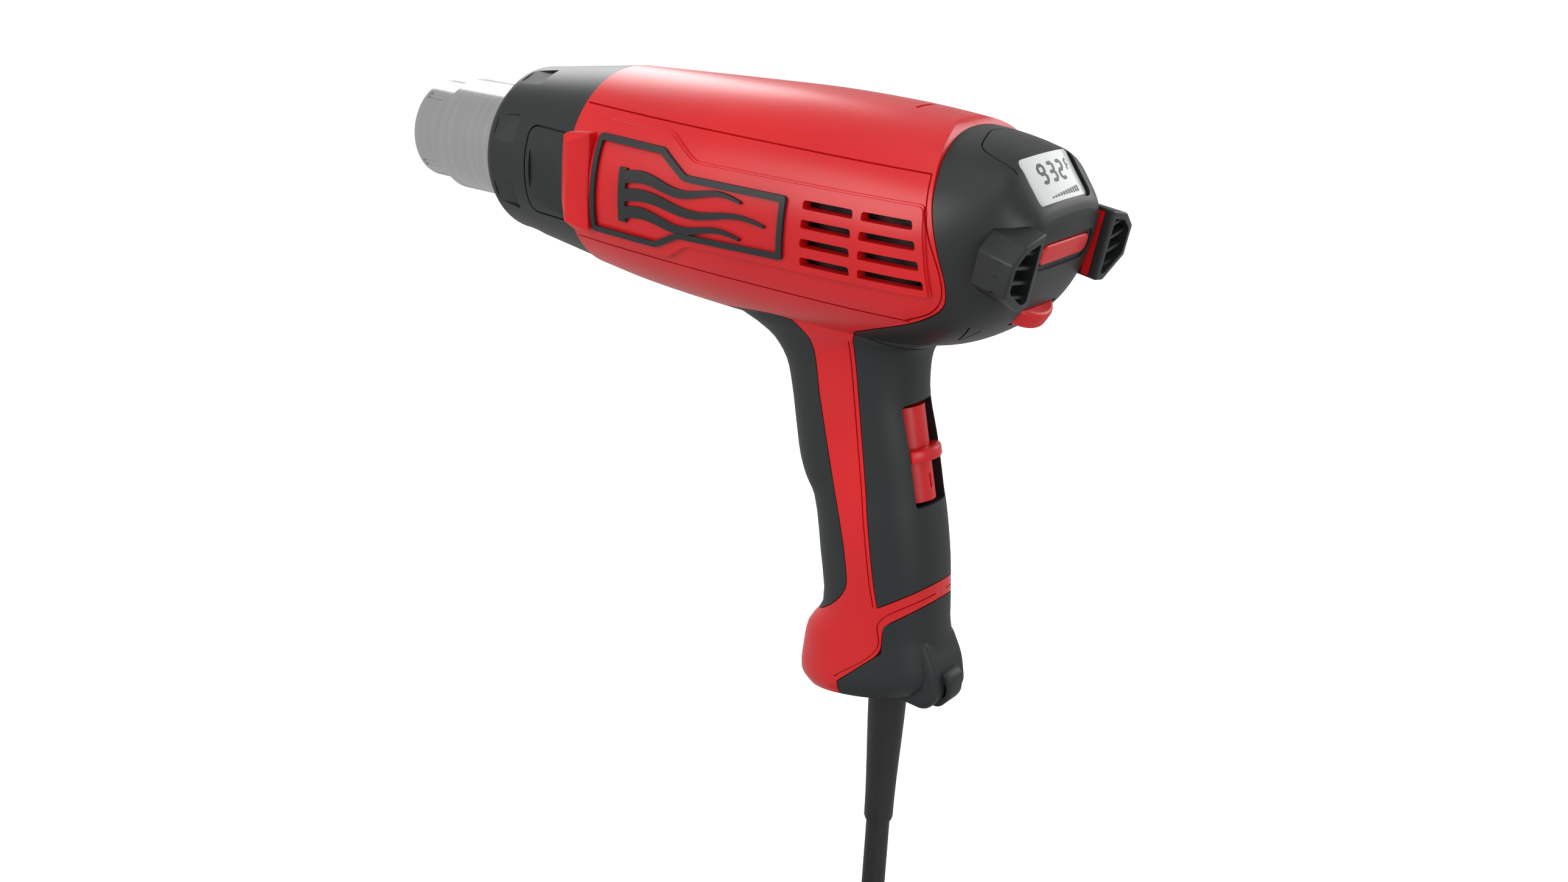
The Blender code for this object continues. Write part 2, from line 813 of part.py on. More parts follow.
def x_share(x, base_x, length):
    return min(1.0, (x - base_x) / length)


def vent_screens():
    """A perforated plate behind each set of vents."""
    low = (181.0, -31.2, -11.0)
    high = (221.0, -30.5, 11.5)
    screen = box("screen", low, high)
    combine(screen, barrel("screen_limit", -BARREL_WALL - GAP, every=2), "INTERSECT")
    finish(mirrored(screen, "screen_copy"), "vent_screen_right", "black")
    finish(screen, "vent_screen_left", "black")


def soft_grips():
    inner = handle("grip_inner", -GRIP_THICKNESS, HANDLE_CORE_END, GAP, every=2)
    shallow = barrel("grip_barrel", -BARREL_WALL, BARREL_CAVITY_END, every=2)
    front = duplicate(OUTER, "front")
    rear = duplicate(OUTER, "rear")
    end = duplicate(OUTER, "end")
    combine(front, front_grip_region(), "INTERSECT")
    combine(rear, rear_grip_region(), "INTERSECT")
    combine(end, end_region(), "INTERSECT")
    for piece in (front, rear):
        combine(piece, inner, "DIFFERENCE")
        combine(piece, shallow, "DIFFERENCE")
    combine(rear, switch_window("grip_window", SWITCH_HALF_WIDTH, 0.6), "DIFFERENCE")
    combine(end, inner, "DIFFERENCE")
    combine(end, sleeve_passage(), "DIFFERENCE")
    finish(front, "grip_front", "rubber")
    finish(rear, "grip_rear", "rubber")
    combine(end, hanging_eye(), "UNION")
    combine(end, eye_hole(), "DIFFERENCE")
    finish(end, "handle_end", "rubber")


def hanging_eye():
    """A loop on the heel of the handle."""
    eye = plate("eye", EYE, 11.0)
    inside = handle("eye_limit", -GRIP_THICKNESS + 0.8, HANDLE_CORE_END, GAP + 0.2, every=2)
    return combine(eye, inside, "DIFFERENCE")


def eye_hole():
    x, z = EYE_HOLE
    points = [(x + 1.7 * math.cos(a), z + 2.9 * math.sin(a)) for a in ring_angles(12)]
    return plate("eye_hole", points, 30.0)


def ring_angles(count):
    return [2 * math.pi * i / count for i in range(count)]


# Rear cap and its controls


def rear_cap():
    cap = duplicate(OUTER, "cap")
    combine(cap, cap_region(), "INTERSECT")
    combine(cap, CAVITY, "DIFFERENCE")
    combine(cap, handle("cap_handle", -GRIP_THICKNESS, every=2), "DIFFERENCE")
    combine(cap, display_prism("display_pocket", GAP, -2.1), "DIFFERENCE")
    combine(cap, display_prism("display_sight", -2.5, -9.0), "DIFFERENCE")
    combine(cap, button_solid("button_pocket", GAP, 12.0), "DIFFERENCE")
    combine(cap, wheel_slot(), "DIFFERENCE")
    for side in (-1, 1):
        seat = bumper_block("bumper_seat", bumper_outline(side, -GAP), -BUMPER_DEPTH - GAP, 5.0)
        combine(cap, seat, "DIFFERENCE")
    finish(cap, "rear_cap", "black")


def display_prism(name, margin, bottom):
    """A rectangle along the display's normal, from bottom up past the surface."""
    width, height = DISPLAY_SIZE
    outline = rounded_rectangle(width + 2 * margin, height + 2 * margin, 1.6)
    top = 6.0
    middle = Vector(DISPLAY_CENTRE) + DISPLAY_NORMAL * ((top + bottom) / 2)
    return plate(name, outline, top - bottom, facing(middle, DISPLAY_NORMAL))


def display_window():
    window = barrel("window", 0.2)
    combine(window, display_prism("window_prism", 0.0, -1.8), "INTERSECT")
    finish(bake(window), "display_window", "display")


def button_solid(name, margin, depth):
    width, height = BUTTON_SIZE
    outline = rounded_rectangle(width + 2 * margin, height + 2 * margin, 2.2)
    top = BUTTON_PROUD if margin == 0 else 5.0
    middle = Vector(BUTTON_CENTRE) + BUTTON_NORMAL * ((top - depth) / 2)
    return plate(name, outline, top + depth, facing(middle, BUTTON_NORMAL))


def mode_button():
    finish(button_solid("button", 0.0, BUTTON_DEPTH), "mode_button", "red")


def wheel_slot():
    reach = WHEEL_AXIS * (WHEEL_THICKNESS / 2 + 0.5)
    return rod("wheel_slot", WHEEL_CENTRE - reach, WHEEL_CENTRE + reach, WHEEL_RADIUS + 0.5, sides=32)


def thumbwheel():
    half = WHEEL_THICKNESS / 2
    edge = 1.2
    bore = POST_RADIUS + GAP
    profile = (
        (-half, WHEEL_RADIUS - edge),
        (-half + edge, WHEEL_RADIUS),
        (half - edge, WHEEL_RADIUS),
        (half, WHEEL_RADIUS - edge),
        (half, bore),
        (-half, bore),
    )
    wheel = turned("wheel", profile, WHEEL_CENTRE, WHEEL_AXIS, steps=24)
    finish(wheel, "thumbwheel", "red")
    start = WHEEL_CENTRE - WHEEL_AXIS * (half + 1.0)
    shoulder = WHEEL_CENTRE + WHEEL_AXIS * (half + 1.0)
    post = rod("post", start, shoulder + WHEEL_AXIS * 2.0, POST_RADIUS, sides=16)
    body = rod("pot", shoulder, shoulder + WHEEL_AXIS * 4.5, 5.0, sides=16)
    combine(post, body, "UNION")
    finish(post, "dial_post", "steel")


def bumper_block(name, outline, front, rear):
    """A prism along the bumpers' own axis, between two depths from the rear face."""
    middle = BUMPER_CENTRE + BUMPER_NORMAL * ((front + rear) / 2)
    return plate(name, outline, rear - front, facing(middle, BUMPER_NORMAL))


def bumper_outline(side, margin=0.0):
    return inset([(side * y, z) for y, z in BUMPER], margin)


def across_box(side, near, far, low, high):
    return ((side * near, low), (side * far, low), (side * far, high), (side * near, high))


def bumpers():
    """Ribbed rubber feet on which the gun stands with its nozzle up."""
    for side, name in ((-1, "left"), (1, "right")):
        bumper = bumper_block("bumper", bumper_outline(side), -BUMPER_DEPTH, 0.0)
        pocket = bumper_block("pocket", bumper_outline(side, BUMPER_RIM), -BUMPER_POCKET, 2.0)
        combine(bumper, pocket, "DIFFERENCE")
        for rib in range(RIB_COUNT):
            low = -8.5 + rib * 4.8
            outline = across_box(side, 21.5, 36.0, low, low + RIB_THICKNESS)
            slat = bumper_block("rib", outline, -BUMPER_POCKET - 1.0, -1.6)
            limit = bumper_block("rib_limit", bumper_outline(side, 0.5), -12.0, 1.0)
            combine(slat, limit, "INTERSECT")
            combine(bumper, slat, "UNION")
        combine(bumper, stripe_solid(side, GAP), "DIFFERENCE")
        finish(bumper, f"bumper_{name}", "rubber")
        finish(stripe_solid(side, 0.0), f"bumper_stripe_{name}", "red")


def stripe_solid(side, margin):
    """A red inlay on the bumper's inner wall."""
    inner = BUMPER[0][0]
    outline = across_box(side, inner - 0.1 - margin * 4, inner + 0.9 + margin, -11.3 - margin, 9.0 + margin)
    rear = -STRIPE_BEHIND_RIM + margin
    return bumper_block("stripe", outline, rear - STRIPE_WIDTH - 2 * margin, rear)


# Slide switch


def slide_switch():
    half_length = (SWITCH_TOP_Z - SWITCH_BOTTOM_Z) / 2 - 0.8
    top = switch_line(half_length, -TRACK_RADIUS)
    bottom = switch_line(-half_length, -TRACK_RADIUS)
    track = rod("track", (bottom[0], 0, bottom[1]), (top[0], 0, top[1]), TRACK_RADIUS, sides=24)
    finish(track, "switch_track", "red")
    slider = tab_ring("slider", TAB_RADIUS, TAB_HEIGHT)
    finish(slider, "switch_slider", "red")


def tab_ring(name, radius, height):
    """A thumb tab that rides round the track's outer side."""
    base = switch_line(0.0, -TRACK_RADIUS)
    axis = (-math.sin(LEAN), 0.0, math.cos(LEAN))
    inner = TRACK_RADIUS + GAP
    profile = (
        (-height / 2, radius + 1.4),
        (height / 2, radius + 1.4),
        (height / 2, inner),
        (-height / 2, inner),
    )
    ring = turned(name, profile, (base[0], 0.0, base[1]), axis, steps=28)
    bake_in_place(ring)
    corners = (
        switch_line(12.0, -TRACK_RADIUS + 1.5),
        switch_line(12.0, 30.0),
        switch_line(-12.0, 30.0),
        switch_line(-12.0, -TRACK_RADIUS + 1.5),
    )
    return combine(ring, plate("tab_limit", corners, 2 * SWITCH_HALF_WIDTH), "INTERSECT")


def bake_in_place(obj):
    """Bake the modifiers and the object's own placing into its mesh."""
    mesh = evaluated_mesh(obj)
    mesh.transform(obj.matrix_basis)
    obj.modifiers.clear()
    obj.data = mesh
    obj.matrix_basis = Matrix.Identity(4)


def switch_body():
    """The switch module behind the track, inside the handle's core."""
    half = 11.0
    corners = (
        switch_line(half, -2 * TRACK_RADIUS - 1.0),
        switch_line(-half, -2 * TRACK_RADIUS - 1.0),
        switch_line(-half, -2 * TRACK_RADIUS - 13.0),
        switch_line(half, -2 * TRACK_RADIUS - 13.0),
    )
    finish(plate("switch_box", corners, 14.0), "switch_body", "white")


# Outlet


def nozzle_tube():
    wall = NOZZLE_WALL
    profile = (
        (0.0, NOZZLE_RADIUS),
        (SHOULDER_X, NOZZLE_RADIUS),
        (SHOULDER_X + 0.8, NOZZLE_RADIUS + 0.4),
        (SHOULDER_X + 1.6, TUBE_RADIUS - 0.4),
        (SHOULDER_X + 2.6, TUBE_RADIUS),
        (NOZZLE_END_X - 1.2, TUBE_RADIUS),
        (NOZZLE_END_X - 1.2, TUBE_RADIUS + 3.0),
        (NOZZLE_END_X, TUBE_RADIUS + 3.0),
        (NOZZLE_END_X, TUBE_RADIUS - wall),
        (SHOULDER_X + 2.0, TUBE_RADIUS - wall),
        (SHOULDER_X, NOZZLE_RADIUS - wall),
        (0.0, NOZZLE_RADIUS - wall),
    )
    finish(turned("nozzle", profile, steps=24), "nozzle_tube", "steel")


def nose_collar():
    wall = COLLAR_WALL
    bore = TUBE_RADIUS + GAP
    slope = (33.1 - 27.0) / (COLLAR_REAR_X - COLLAR_FRONT_X)
    profile = [(COLLAR_FRONT_X, bore)]
    for step in range(5):
        angle = math.radians(90.0 * step / 4)
        profile.append((COLLAR_FRONT_X + 4.5 * (1 - math.sin(angle)), 23.0 + 4.6 * math.cos(angle)))
    profile = [profile[0]] + profile[1:][::-1]
    profile += [
        (COLLAR_REAR_X, 33.1),
        (COLLAR_REAR_X, 33.1 - wall),
        (NOZZLE_END_X + 2.0, 27.6 + slope * 20 - wall),
        (NOZZLE_END_X + 2.0, bore + 4.0),
        (NOZZLE_END_X - 1.2 - GAP, bore + 4.0),
        (NOZZLE_END_X - 1.2 - GAP, bore),
    ]
    collar = turned("collar", profile, steps=24)
    bake_in_place(collar)
    for number in range(8):
        angle = math.radians(90.0 + 45.0 * number)
        pocket = box("pocket", (50.5, -4.0, 27.3), (58.5, 4.0, 34.0))
        pocket.data.transform(Matrix.Rotation(angle - math.radians(90.0), 4, "X"))
        combine(collar, pocket, "DIFFERENCE")
    for side in (-1, 1):
        low_y, high_y = sorted((side * 40.0, side * 29.6))
        combine(collar, box("recess", (64.0, low_y, -12.5), (95.0, high_y, 12.5)), "DIFFERENCE")
    finish(collar, "nose_collar", "black")


# Heater and blower


def heater():
    radius = HEATER_TUBE_RADIUS
    profile = ((3.0, radius), (78.0, radius), (78.0, radius - 0.9), (3.0, radius - 0.9))
    finish(turned("sleeve", profile, steps=28), "heater_tube", "mica")
    reach = radius - 1.6
    core = box("core_a", (10.0, -reach, -0.5), (72.0, reach, 0.5))
    combine(core, box("core_b", (10.0, -0.5, -reach), (72.0, 0.5, reach)), "UNION")
    hub = rod("core_hub", (10.0, 0, 0), (72.0, 0, 0), 2.0, sides=10)
    combine(core, hub, "UNION")
    combine(core, coil_wire("coil_cut", 1.1 + GAP), "DIFFERENCE")
    finish(core, "heater_core", "mica")
    finish(coil_wire("coil", 1.1), "heating_coil", "copper")


def coil_wire(name, radius):
    """A helix wound round the former's vanes."""
    turns, per_turn, winding = 5, 10, 10.5
    count = turns * per_turn
    points = []
    for i in range(count + 1):
        angle = 2 * math.pi * i / per_turn + 0.3
        points.append((14.0 + 54.0 * i / count, winding * math.cos(angle), winding * math.sin(angle)))
    return wire(name, points, radius, 0)


def wire(name, points, radius, resolution=2):
    """A round wire or cord along a path of points, as a welded mesh."""
    curve = bpy.data.curves.new(name, "CURVE")
    curve.dimensions = "3D"
    curve.bevel_depth = radius * MM
    curve.bevel_resolution = resolution
    curve.use_fill_caps = True
    spline = curve.splines.new("POLY")
    spline.points.add(len(points) - 1)
    for point, place in zip(spline.points, points):
        point.co = (*(Vector(place) * MM), 1.0)
    path = add_object(name + "_path", curve)
    mesh = evaluated_mesh(path)
    bpy.data.objects.remove(path)
    bm = bmesh.new()
    bm.from_mesh(mesh)
    bmesh.ops.remove_doubles(bm, verts=bm.verts, dist=0.000001)
    bmesh.ops.recalc_face_normals(bm, faces=bm.faces)
    return mesh_object(name, bm)


def thermal_cutout():
    low, high = (80.5, -4.0, -12.0), (86.0, 4.0, -4.0)
    finish(box("cutout", low, high), "thermal_cutout", "steel")


def blower():
    shroud = (
        (88.5, 20.0),
        (104.0, 24.4),
        (140.0, 24.4),
        (140.0, 23.0),
        (104.2, 23.0),
        (88.5, 18.6),
    )
    finish(turned("shroud", shroud, steps=24), "fan_shroud", "black")
    mount = (
        (MOTOR_FRONT_X - 3.0, 29.0),
        (MOTOR_FRONT_X, 29.0),
        (MOTOR_FRONT_X, MOTOR_RADIUS + 3.2),
        (MOTOR_FRONT_X + 20.0, MOTOR_RADIUS + 3.2),
        (MOTOR_FRONT_X + 20.0, MOTOR_RADIUS + GAP),
        (MOTOR_FRONT_X - 3.0, MOTOR_RADIUS + GAP),
    )
    ring = turned("mount", mount, steps=24)
    bake_in_place(ring)
    for number in range(4):
        angle = math.radians(45.0 + 90.0 * number)
        port = rod("port", (MOTOR_FRONT_X - 6, 0, 0), (MOTOR_FRONT_X + 2, 0, 0), 3.0, sides=10)
        shift = Vector((0.0, math.cos(angle), math.sin(angle))) * MOUNT_PORT_RADIUS * MM
        port.data.transform(Matrix.Translation(shift))
        combine(ring, port, "DIFFERENCE")
    finish(ring, "motor_mount", "black")
    body = (
        (MOTOR_FRONT_X, 6.0),
        (MOTOR_FRONT_X, MOTOR_RADIUS),
        (MOTOR_REAR_X, MOTOR_RADIUS),
        (MOTOR_REAR_X, 6.0),
        (MOTOR_REAR_X + 4.0, 6.0),
        (MOTOR_REAR_X + 4.0, SHAFT_RADIUS + 0.1),
        (MOTOR_FRONT_X - 3.0, SHAFT_RADIUS + 0.1),
        (MOTOR_FRONT_X - 3.0, 6.0),
    )
    finish(turned("motor", body, steps=24), "motor_body", "steel")
    shaft = rod("shaft", (FAN_FRONT_X - 3.0, 0, 0), (MOTOR_REAR_X + 3.0, 0, 0), SHAFT_RADIUS, sides=12)
    finish(shaft, "motor_shaft", "steel")
    fan_impeller()


def fan_impeller():
    hub = (
        (FAN_FRONT_X, 6.0),
        (FAN_BACK_X, FAN_RADIUS),
        (FAN_BACK_X + 1.2, FAN_RADIUS),
        (FAN_BACK_X + 1.2, SHAFT_RADIUS + 0.1),
        (FAN_FRONT_X, SHAFT_RADIUS + 0.1),
    )
    fan = turned("fan", hub, steps=24)
    bake_in_place(fan)
    tip = FAN_RADIUS - 0.5
    blade_outline = (
        (FAN_FRONT_X + 2.0, 5.5),
        (FAN_FRONT_X + 2.0, tip - 5.0),
        (FAN_BACK_X - 2.0, tip),
        (FAN_BACK_X + 0.5, tip),
        (FAN_BACK_X + 0.5, tip - 5.0),
    )
    for number in range(FAN_BLADES):
        blade = plate("blade", blade_outline, 1.0)
        blade.data.transform(Matrix.Rotation(2 * math.pi * number / FAN_BLADES, 4, "X"))
        combine(fan, blade, "UNION")
    finish(fan, "fan_impeller", "white")


# Electrics in the cap and the handle


def electrics():
    board = box("board", (222.0, -22.0, -3.0), (223.6, 22.0, 22.0))
    finish(board, "control_board", "board")
    block = plate("block", ((185.0, -104.0), (198.0, -104.0), (201.0, -117.0), (188.0, -117.0)), 17.0)
    finish(block, "terminal_block", "white")
    clamp = box("clamp", (SLEEVE_X - 9.0, -9.0, -127.2), (SLEEVE_X + 7.0, 9.0, -122.2))
    hole = rod("clamp_hole", (SLEEVE_X, 0, -115), (SLEEVE_X, 0, -160), CORD_RADIUS, sides=16)
    combine(clamp, hole, "DIFFERENCE")
    finish(clamp, "cord_clamp", "white")
    for side, name in ((-1, "live"), (1, "neutral")):
        points = (
            (188.5, side * 5.0, -103.0),
            (188.0, side * 6.0, -99.5),
            (188.0, side * 6.2, -95.0),
            (189.0, side * 5.5, -91.5),
            (190.0, side * 5.0, -88.6),
        )
        finish(wire("lead", points, 1.2, 1), f"lead_wire_{name}", "red" if side < 0 else "black")


# Cord


def strain_relief():
    profile = (
        (0.0, SLEEVE_FLANGE_RADIUS),
        (SLEEVE_FLANGE_HEIGHT, SLEEVE_FLANGE_RADIUS),
        (SLEEVE_FLANGE_HEIGHT, SLEEVE_TOP_RADIUS),
        (SLEEVE_TOP_Z + 153.0, SLEEVE_TOP_RADIUS),
        (SLEEVE_TOP_Z - SLEEVE_END_Z, SLEEVE_END_RADIUS),
        (SLEEVE_TOP_Z - SLEEVE_END_Z, 2.0),
        (0.0, 2.0),
    )
    base = (SLEEVE_X, 0.0, SLEEVE_TOP_Z)
    sleeve = turned("sleeve", profile, base, (0.0, 0.0, 1.0), steps=24)
    finish(sleeve, "strain_relief", "rubber")


def smooth_path(points, spacing):
    """Points at about the given spacing on a smooth curve through the route's points."""
    points = [Vector(point) for point in points]
    ends = [2 * points[0] - points[1], *points, 2 * points[-1] - points[-2]]
    path = [points[0]]
    for i in range(1, len(ends) - 2):
        before, start, end, after = ends[i - 1 : i + 3]
        steps = max(1, round((end - start).length / spacing))
        for step in range(1, steps + 1):
            t = step / steps
            path.append(
                0.5
                * (
                    2 * start
                    + (end - before) * t
                    + (2 * before - 5 * start + 4 * end - after) * t**2
                    + (3 * start - before - 3 * end + after) * t**3
                )
            )
    return path


def cord():
    path = smooth_path(CORD_ROUTE, 16.0)
    finish(wire("cord", path, CORD_RADIUS, 2), "cord_tube", "rubber")
    inner = COIL_MEAN_RADIUS - COIL_ACROSS * CORD_RADIUS
    outer = COIL_MEAN_RADIUS + COIL_ACROSS * CORD_RADIUS
    height = 2 * CORD_RADIUS * COIL_LAYERS
    edge = CORD_RADIUS
    profile = (
        (0.0, outer - edge),
        (edge / 2, outer),
        (height - edge / 2, outer),
        (height, outer - edge),
        (height, inner + edge),
        (height - edge / 2, inner),
        (edge / 2, inner),
        (0.0, inner + edge),
    )
    base = (*COIL_CENTRE, SURFACE_Z + COIL_LIFT + height)
    coil = turned("cord_coil", profile, base, (0.0, 0.0, 1.0), steps=32)
    finish(coil, "cord_coil", "rubber")
    tail_y = COIL_CENTRE[1] - outer - CORD_RADIUS - 0.4
    level = SURFACE_Z + CORD_RADIUS
    tail = ((TAIL_START_X, tail_y, level), (PLUG_START_X - GAP, tail_y, level))
    finish(wire("tail", smooth_path(tail, 16.0), CORD_RADIUS, 2), "cord_tail", "rubber")
    plug(tail_y)
    coil_tie(inner, outer, height)


def plug(y):
    """A moulded two-pin plug that lies beside the coil."""
    level = SURFACE_Z + PLUG_RADIUS
    profile = (
        (0.0, 5.5),
        (8.0, 8.0),
        (14.0, PLUG_RADIUS),
        (PLUG_END_X - PLUG_START_X - 1.0, PLUG_RADIUS),
        (PLUG_END_X - PLUG_START_X, PLUG_RADIUS - 1.0),
        (PLUG_END_X - PLUG_START_X, 1.5),
        (0.0, 1.5),
    )
    body = turned("plug", profile, (PLUG_START_X, y, level), (-1.0, 0.0, 0.0), steps=20)
    bake_in_place(body)
    for side in (-1, 1):
        low, high = blade_corners(y, level, side, GAP, 6.0)
        combine(body, box("blade_slot", low, high), "DIFFERENCE")
    finish(body, "plug_body", "rubber")
    for side, number in ((-1, 1), (1, 2)):
        low, high = blade_corners(y, level, side, 0.0, 5.5)
        finish(box("blade", low, high), f"plug_blade_{number}", "brass")


def blade_corners(y, level, side, margin, depth):
    low = (PLUG_END_X - depth, y + side * 6.35 - 0.75 - margin, level - 3.2 - margin)
    high = (PLUG_END_X + BLADE_LENGTH, y + side * 6.35 + 0.75 + margin, level + 3.2 + margin)
    return low, high


def coil_tie(inner, outer, height):
    """A strap round the coil."""
    middle_x = COIL_CENTRE[0] - COIL_MEAN_RADIUS
    reach = (outer - inner) / 2 + 0.6
    y = COIL_CENTRE[1]
    top = SURFACE_Z + COIL_LIFT + height + GAP
    low = (middle_x - reach - 1.2, y - 4.0, SURFACE_Z)
    high = (middle_x + reach + 1.2, y + 4.0, top + 1.2)
    tie = box("tie", low, high)
    hole_low = (middle_x - reach, y - 5.0, SURFACE_Z + COIL_LIFT - GAP)
    hole_high = (middle_x + reach, y + 5.0, top)
    combine(tie, box("tie_hole", hole_low, hole_high), "DIFFERENCE")
    finish(tie, "coil_tie", "black")


def main_assembly():
    housings()
    housing_screws()
    side_trim()
    vent_screens()
    soft_grips()
    rear_cap()
    display_window()
    mode_button()
    thumbwheel()
    bumpers()
    slide_switch()
    switch_body()
    nozzle_tube()
    nose_collar()
    heater()
    thermal_cutout()
    blower()
    electrics()
    strain_relief()
    cord()


OUTER = outer_body()
BOSS_LIMIT = boss_limit()
CAVITY = casing_cavity()
main_assembly()
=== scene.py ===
import math

import bmesh
import bpy
from mathutils import Matrix, Vector


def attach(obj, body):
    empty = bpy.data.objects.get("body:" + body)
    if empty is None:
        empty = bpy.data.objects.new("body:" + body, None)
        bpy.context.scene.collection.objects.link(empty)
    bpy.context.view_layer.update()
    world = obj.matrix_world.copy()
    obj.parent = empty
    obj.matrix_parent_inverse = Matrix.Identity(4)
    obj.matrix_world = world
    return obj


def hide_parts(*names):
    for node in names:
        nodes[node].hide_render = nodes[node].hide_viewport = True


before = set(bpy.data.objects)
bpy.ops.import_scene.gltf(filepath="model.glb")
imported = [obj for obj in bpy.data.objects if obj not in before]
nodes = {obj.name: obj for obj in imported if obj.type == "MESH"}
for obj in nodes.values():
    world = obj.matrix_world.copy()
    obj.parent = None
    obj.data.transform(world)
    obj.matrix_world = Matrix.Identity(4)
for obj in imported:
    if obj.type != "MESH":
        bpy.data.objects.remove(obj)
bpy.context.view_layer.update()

# Shapes are drawn in the gun's own millimetres: x back from the nozzle's rim, -y the
# left side, z up from the nozzle's axis. gunToRow carries them into the shared frame.
mm = 0.001
gunToRow = Matrix.Scale(mm, 4) @ Matrix.Translation((-190.0, 0.0, 80.0))
bpy.context.scene.view_settings.view_transform = "Standard"


def rowPoint(point):
    return gunToRow @ Vector(point)


# Camera

camera = {
    "place": (0.2892, -0.4647, 0.2025),
    "azimuth": 34.937,
    "elevation": 19.758,
    "roll": 3.096,
    "lens": 41.925,
    "sensor": 36.0,
}


def makeCamera():
    azimuth, elevation = math.radians(camera["azimuth"]), math.radians(camera["elevation"])
    roll = math.radians(camera["roll"])
    level = math.cos(elevation)
    back = Vector((math.sin(azimuth) * level, -math.cos(azimuth) * level, math.sin(elevation)))
    right = Vector((0.0, 0.0, 1.0)).cross(back).normalized()
    up = back.cross(right)
    across = math.cos(roll) * right + math.sin(roll) * up
    above = math.cos(roll) * up - math.sin(roll) * right
    data = bpy.data.cameras.new("camera")
    data.sensor_width = camera["sensor"]
    data.lens = camera["lens"]
    data.clip_start = 0.02
    made = bpy.data.objects.new("camera", data)
    turn = Matrix((across, above, back)).transposed().to_4x4()
    made.matrix_world = Matrix.Translation(camera["place"]) @ turn
    bpy.context.scene.collection.objects.link(made)
    bpy.context.scene.camera = made


makeCamera()
print("camera made")


# Colours and material nodes


# Linear colour from an sRGB hex value.
def hexColour(code):
    parts = [int(code[i : i + 2], 16) / 255 for i in (0, 2, 4)]
    linear = [p / 12.92 if p <= 0.04045 else ((p + 0.055) / 1.055) ** 2.4 for p in parts]
    return (*linear, 1.0)


# Links or sets a node's inputs.
def feed(tree, node, inputs):
    for name, value in inputs.items():
        if isinstance(value, bpy.types.NodeSocket):
            tree.links.new(value, node.inputs[name])
        else:
            node.inputs[name].default_value = value


def addNode(tree, kind, inputs=None, **settings):
    node = tree.nodes.new(kind)
    for name, value in settings.items():
        setattr(node, name, value)
    feed(tree, node, inputs or {})
    return node


# A material with its tree, its shader and the place on the piece that patterns read.
def newMaterial(name, colour, roughness, metallic=0.0):
    made = bpy.data.materials.new(name)
    made.use_nodes = True
    shader = made.node_tree.nodes["Principled BSDF"]
    tree = made.node_tree
    feed(tree, shader, {"Base Color": hexColour(colour), "Roughness": roughness, "Metallic": metallic})
    return made, tree, shader, addNode(tree, "ShaderNodeTexCoord").outputs["Object"]


# How many times a pattern of that size repeats in a metre.
def perMetre(millimetres):
    return 1.0 / (millimetres * mm)


# A moulded part: spark-eroded grain in the bump, slow drift in colour and gloss.
def mouldedPlastic(name, look):
    made, tree, shader, place = newMaterial(name, look["colour"], look["roughness"])
    driftInputs = {"Vector": place, "Scale": perMetre(look["drift"]), "Detail": 3.0}
    drift = addNode(tree, "ShaderNodeTexNoise", driftInputs)
    shade = addNode(tree, "ShaderNodeValToRGB", {"Fac": drift.outputs["Fac"]})
    shade.color_ramp.elements[0].position = 0.3
    shade.color_ramp.elements[0].color = hexColour(look["deep"])
    shade.color_ramp.elements[1].position = 0.7
    shade.color_ramp.elements[1].color = hexColour(look["colour"])
    low, high = look["roughness"] - look["glossSpread"], look["roughness"] + look["glossSpread"]
    glossInputs = {"Value": drift.outputs["Fac"], "To Min": low, "To Max": high}
    gloss = addNode(tree, "ShaderNodeMapRange", glossInputs)
    grainInputs = {"Vector": place, "Scale": perMetre(look["grain"]), "Detail": 2.0}
    grain = addNode(tree, "ShaderNodeTexNoise", grainInputs)
    grainBump = {"Height": grain.outputs["Fac"], "Strength": look["grainStrength"], "Distance": 0.05 * mm}
    bump = addNode(tree, "ShaderNodeBump", grainBump)
    links = {
        "Base Color": shade.outputs["Color"],
        "Roughness": gloss.outputs["Result"],
        "Normal": bump.outputs["Normal"],
        "Coat Weight": look["coat"],
        "Coat Roughness": look["coatRoughness"],
        "IOR": look["ior"],
    }
    feed(tree, shader, links)
    return made


# Glass-filled nylon coloured through: deep even red with a satin gleam.
redNylon = mouldedPlastic(
    "redMouldedNylon",
    {
        "colour": "e3141b", "deep": "cf0f17", "roughness": 0.34, "glossSpread": 0.03,
        "drift": 60.0, "grain": 0.5, "grainStrength": 0.12, "coat": 0.1, "coatRoughness": 0.3,
        "ior": 1.5,
    },
)
# The same nylon in black, from a finely eroded tool: dull with broad soft lights.
blackNylon = mouldedPlastic(
    "blackMouldedNylon",
    {
        "colour": "1f2223", "deep": "212425", "roughness": 0.42, "glossSpread": 0.04,
        "drift": 40.0, "grain": 0.6, "grainStrength": 0.2, "coat": 0.0, "coatRoughness": 0.3,
        "ior": 1.5,
    },
)
# Thermoplastic rubber moulded over the nylon: softer gleam and a finer tooth.
softGripRubber = mouldedPlastic(
    "overmouldedRubber",
    {
        "colour": "202525", "deep": "202526", "roughness": 0.5, "glossSpread": 0.04, "drift": 30.0,
        "grain": 0.45, "grainStrength": 0.3, "coat": 0.0, "coatRoughness": 0.4, "ior": 1.48,
    },
)
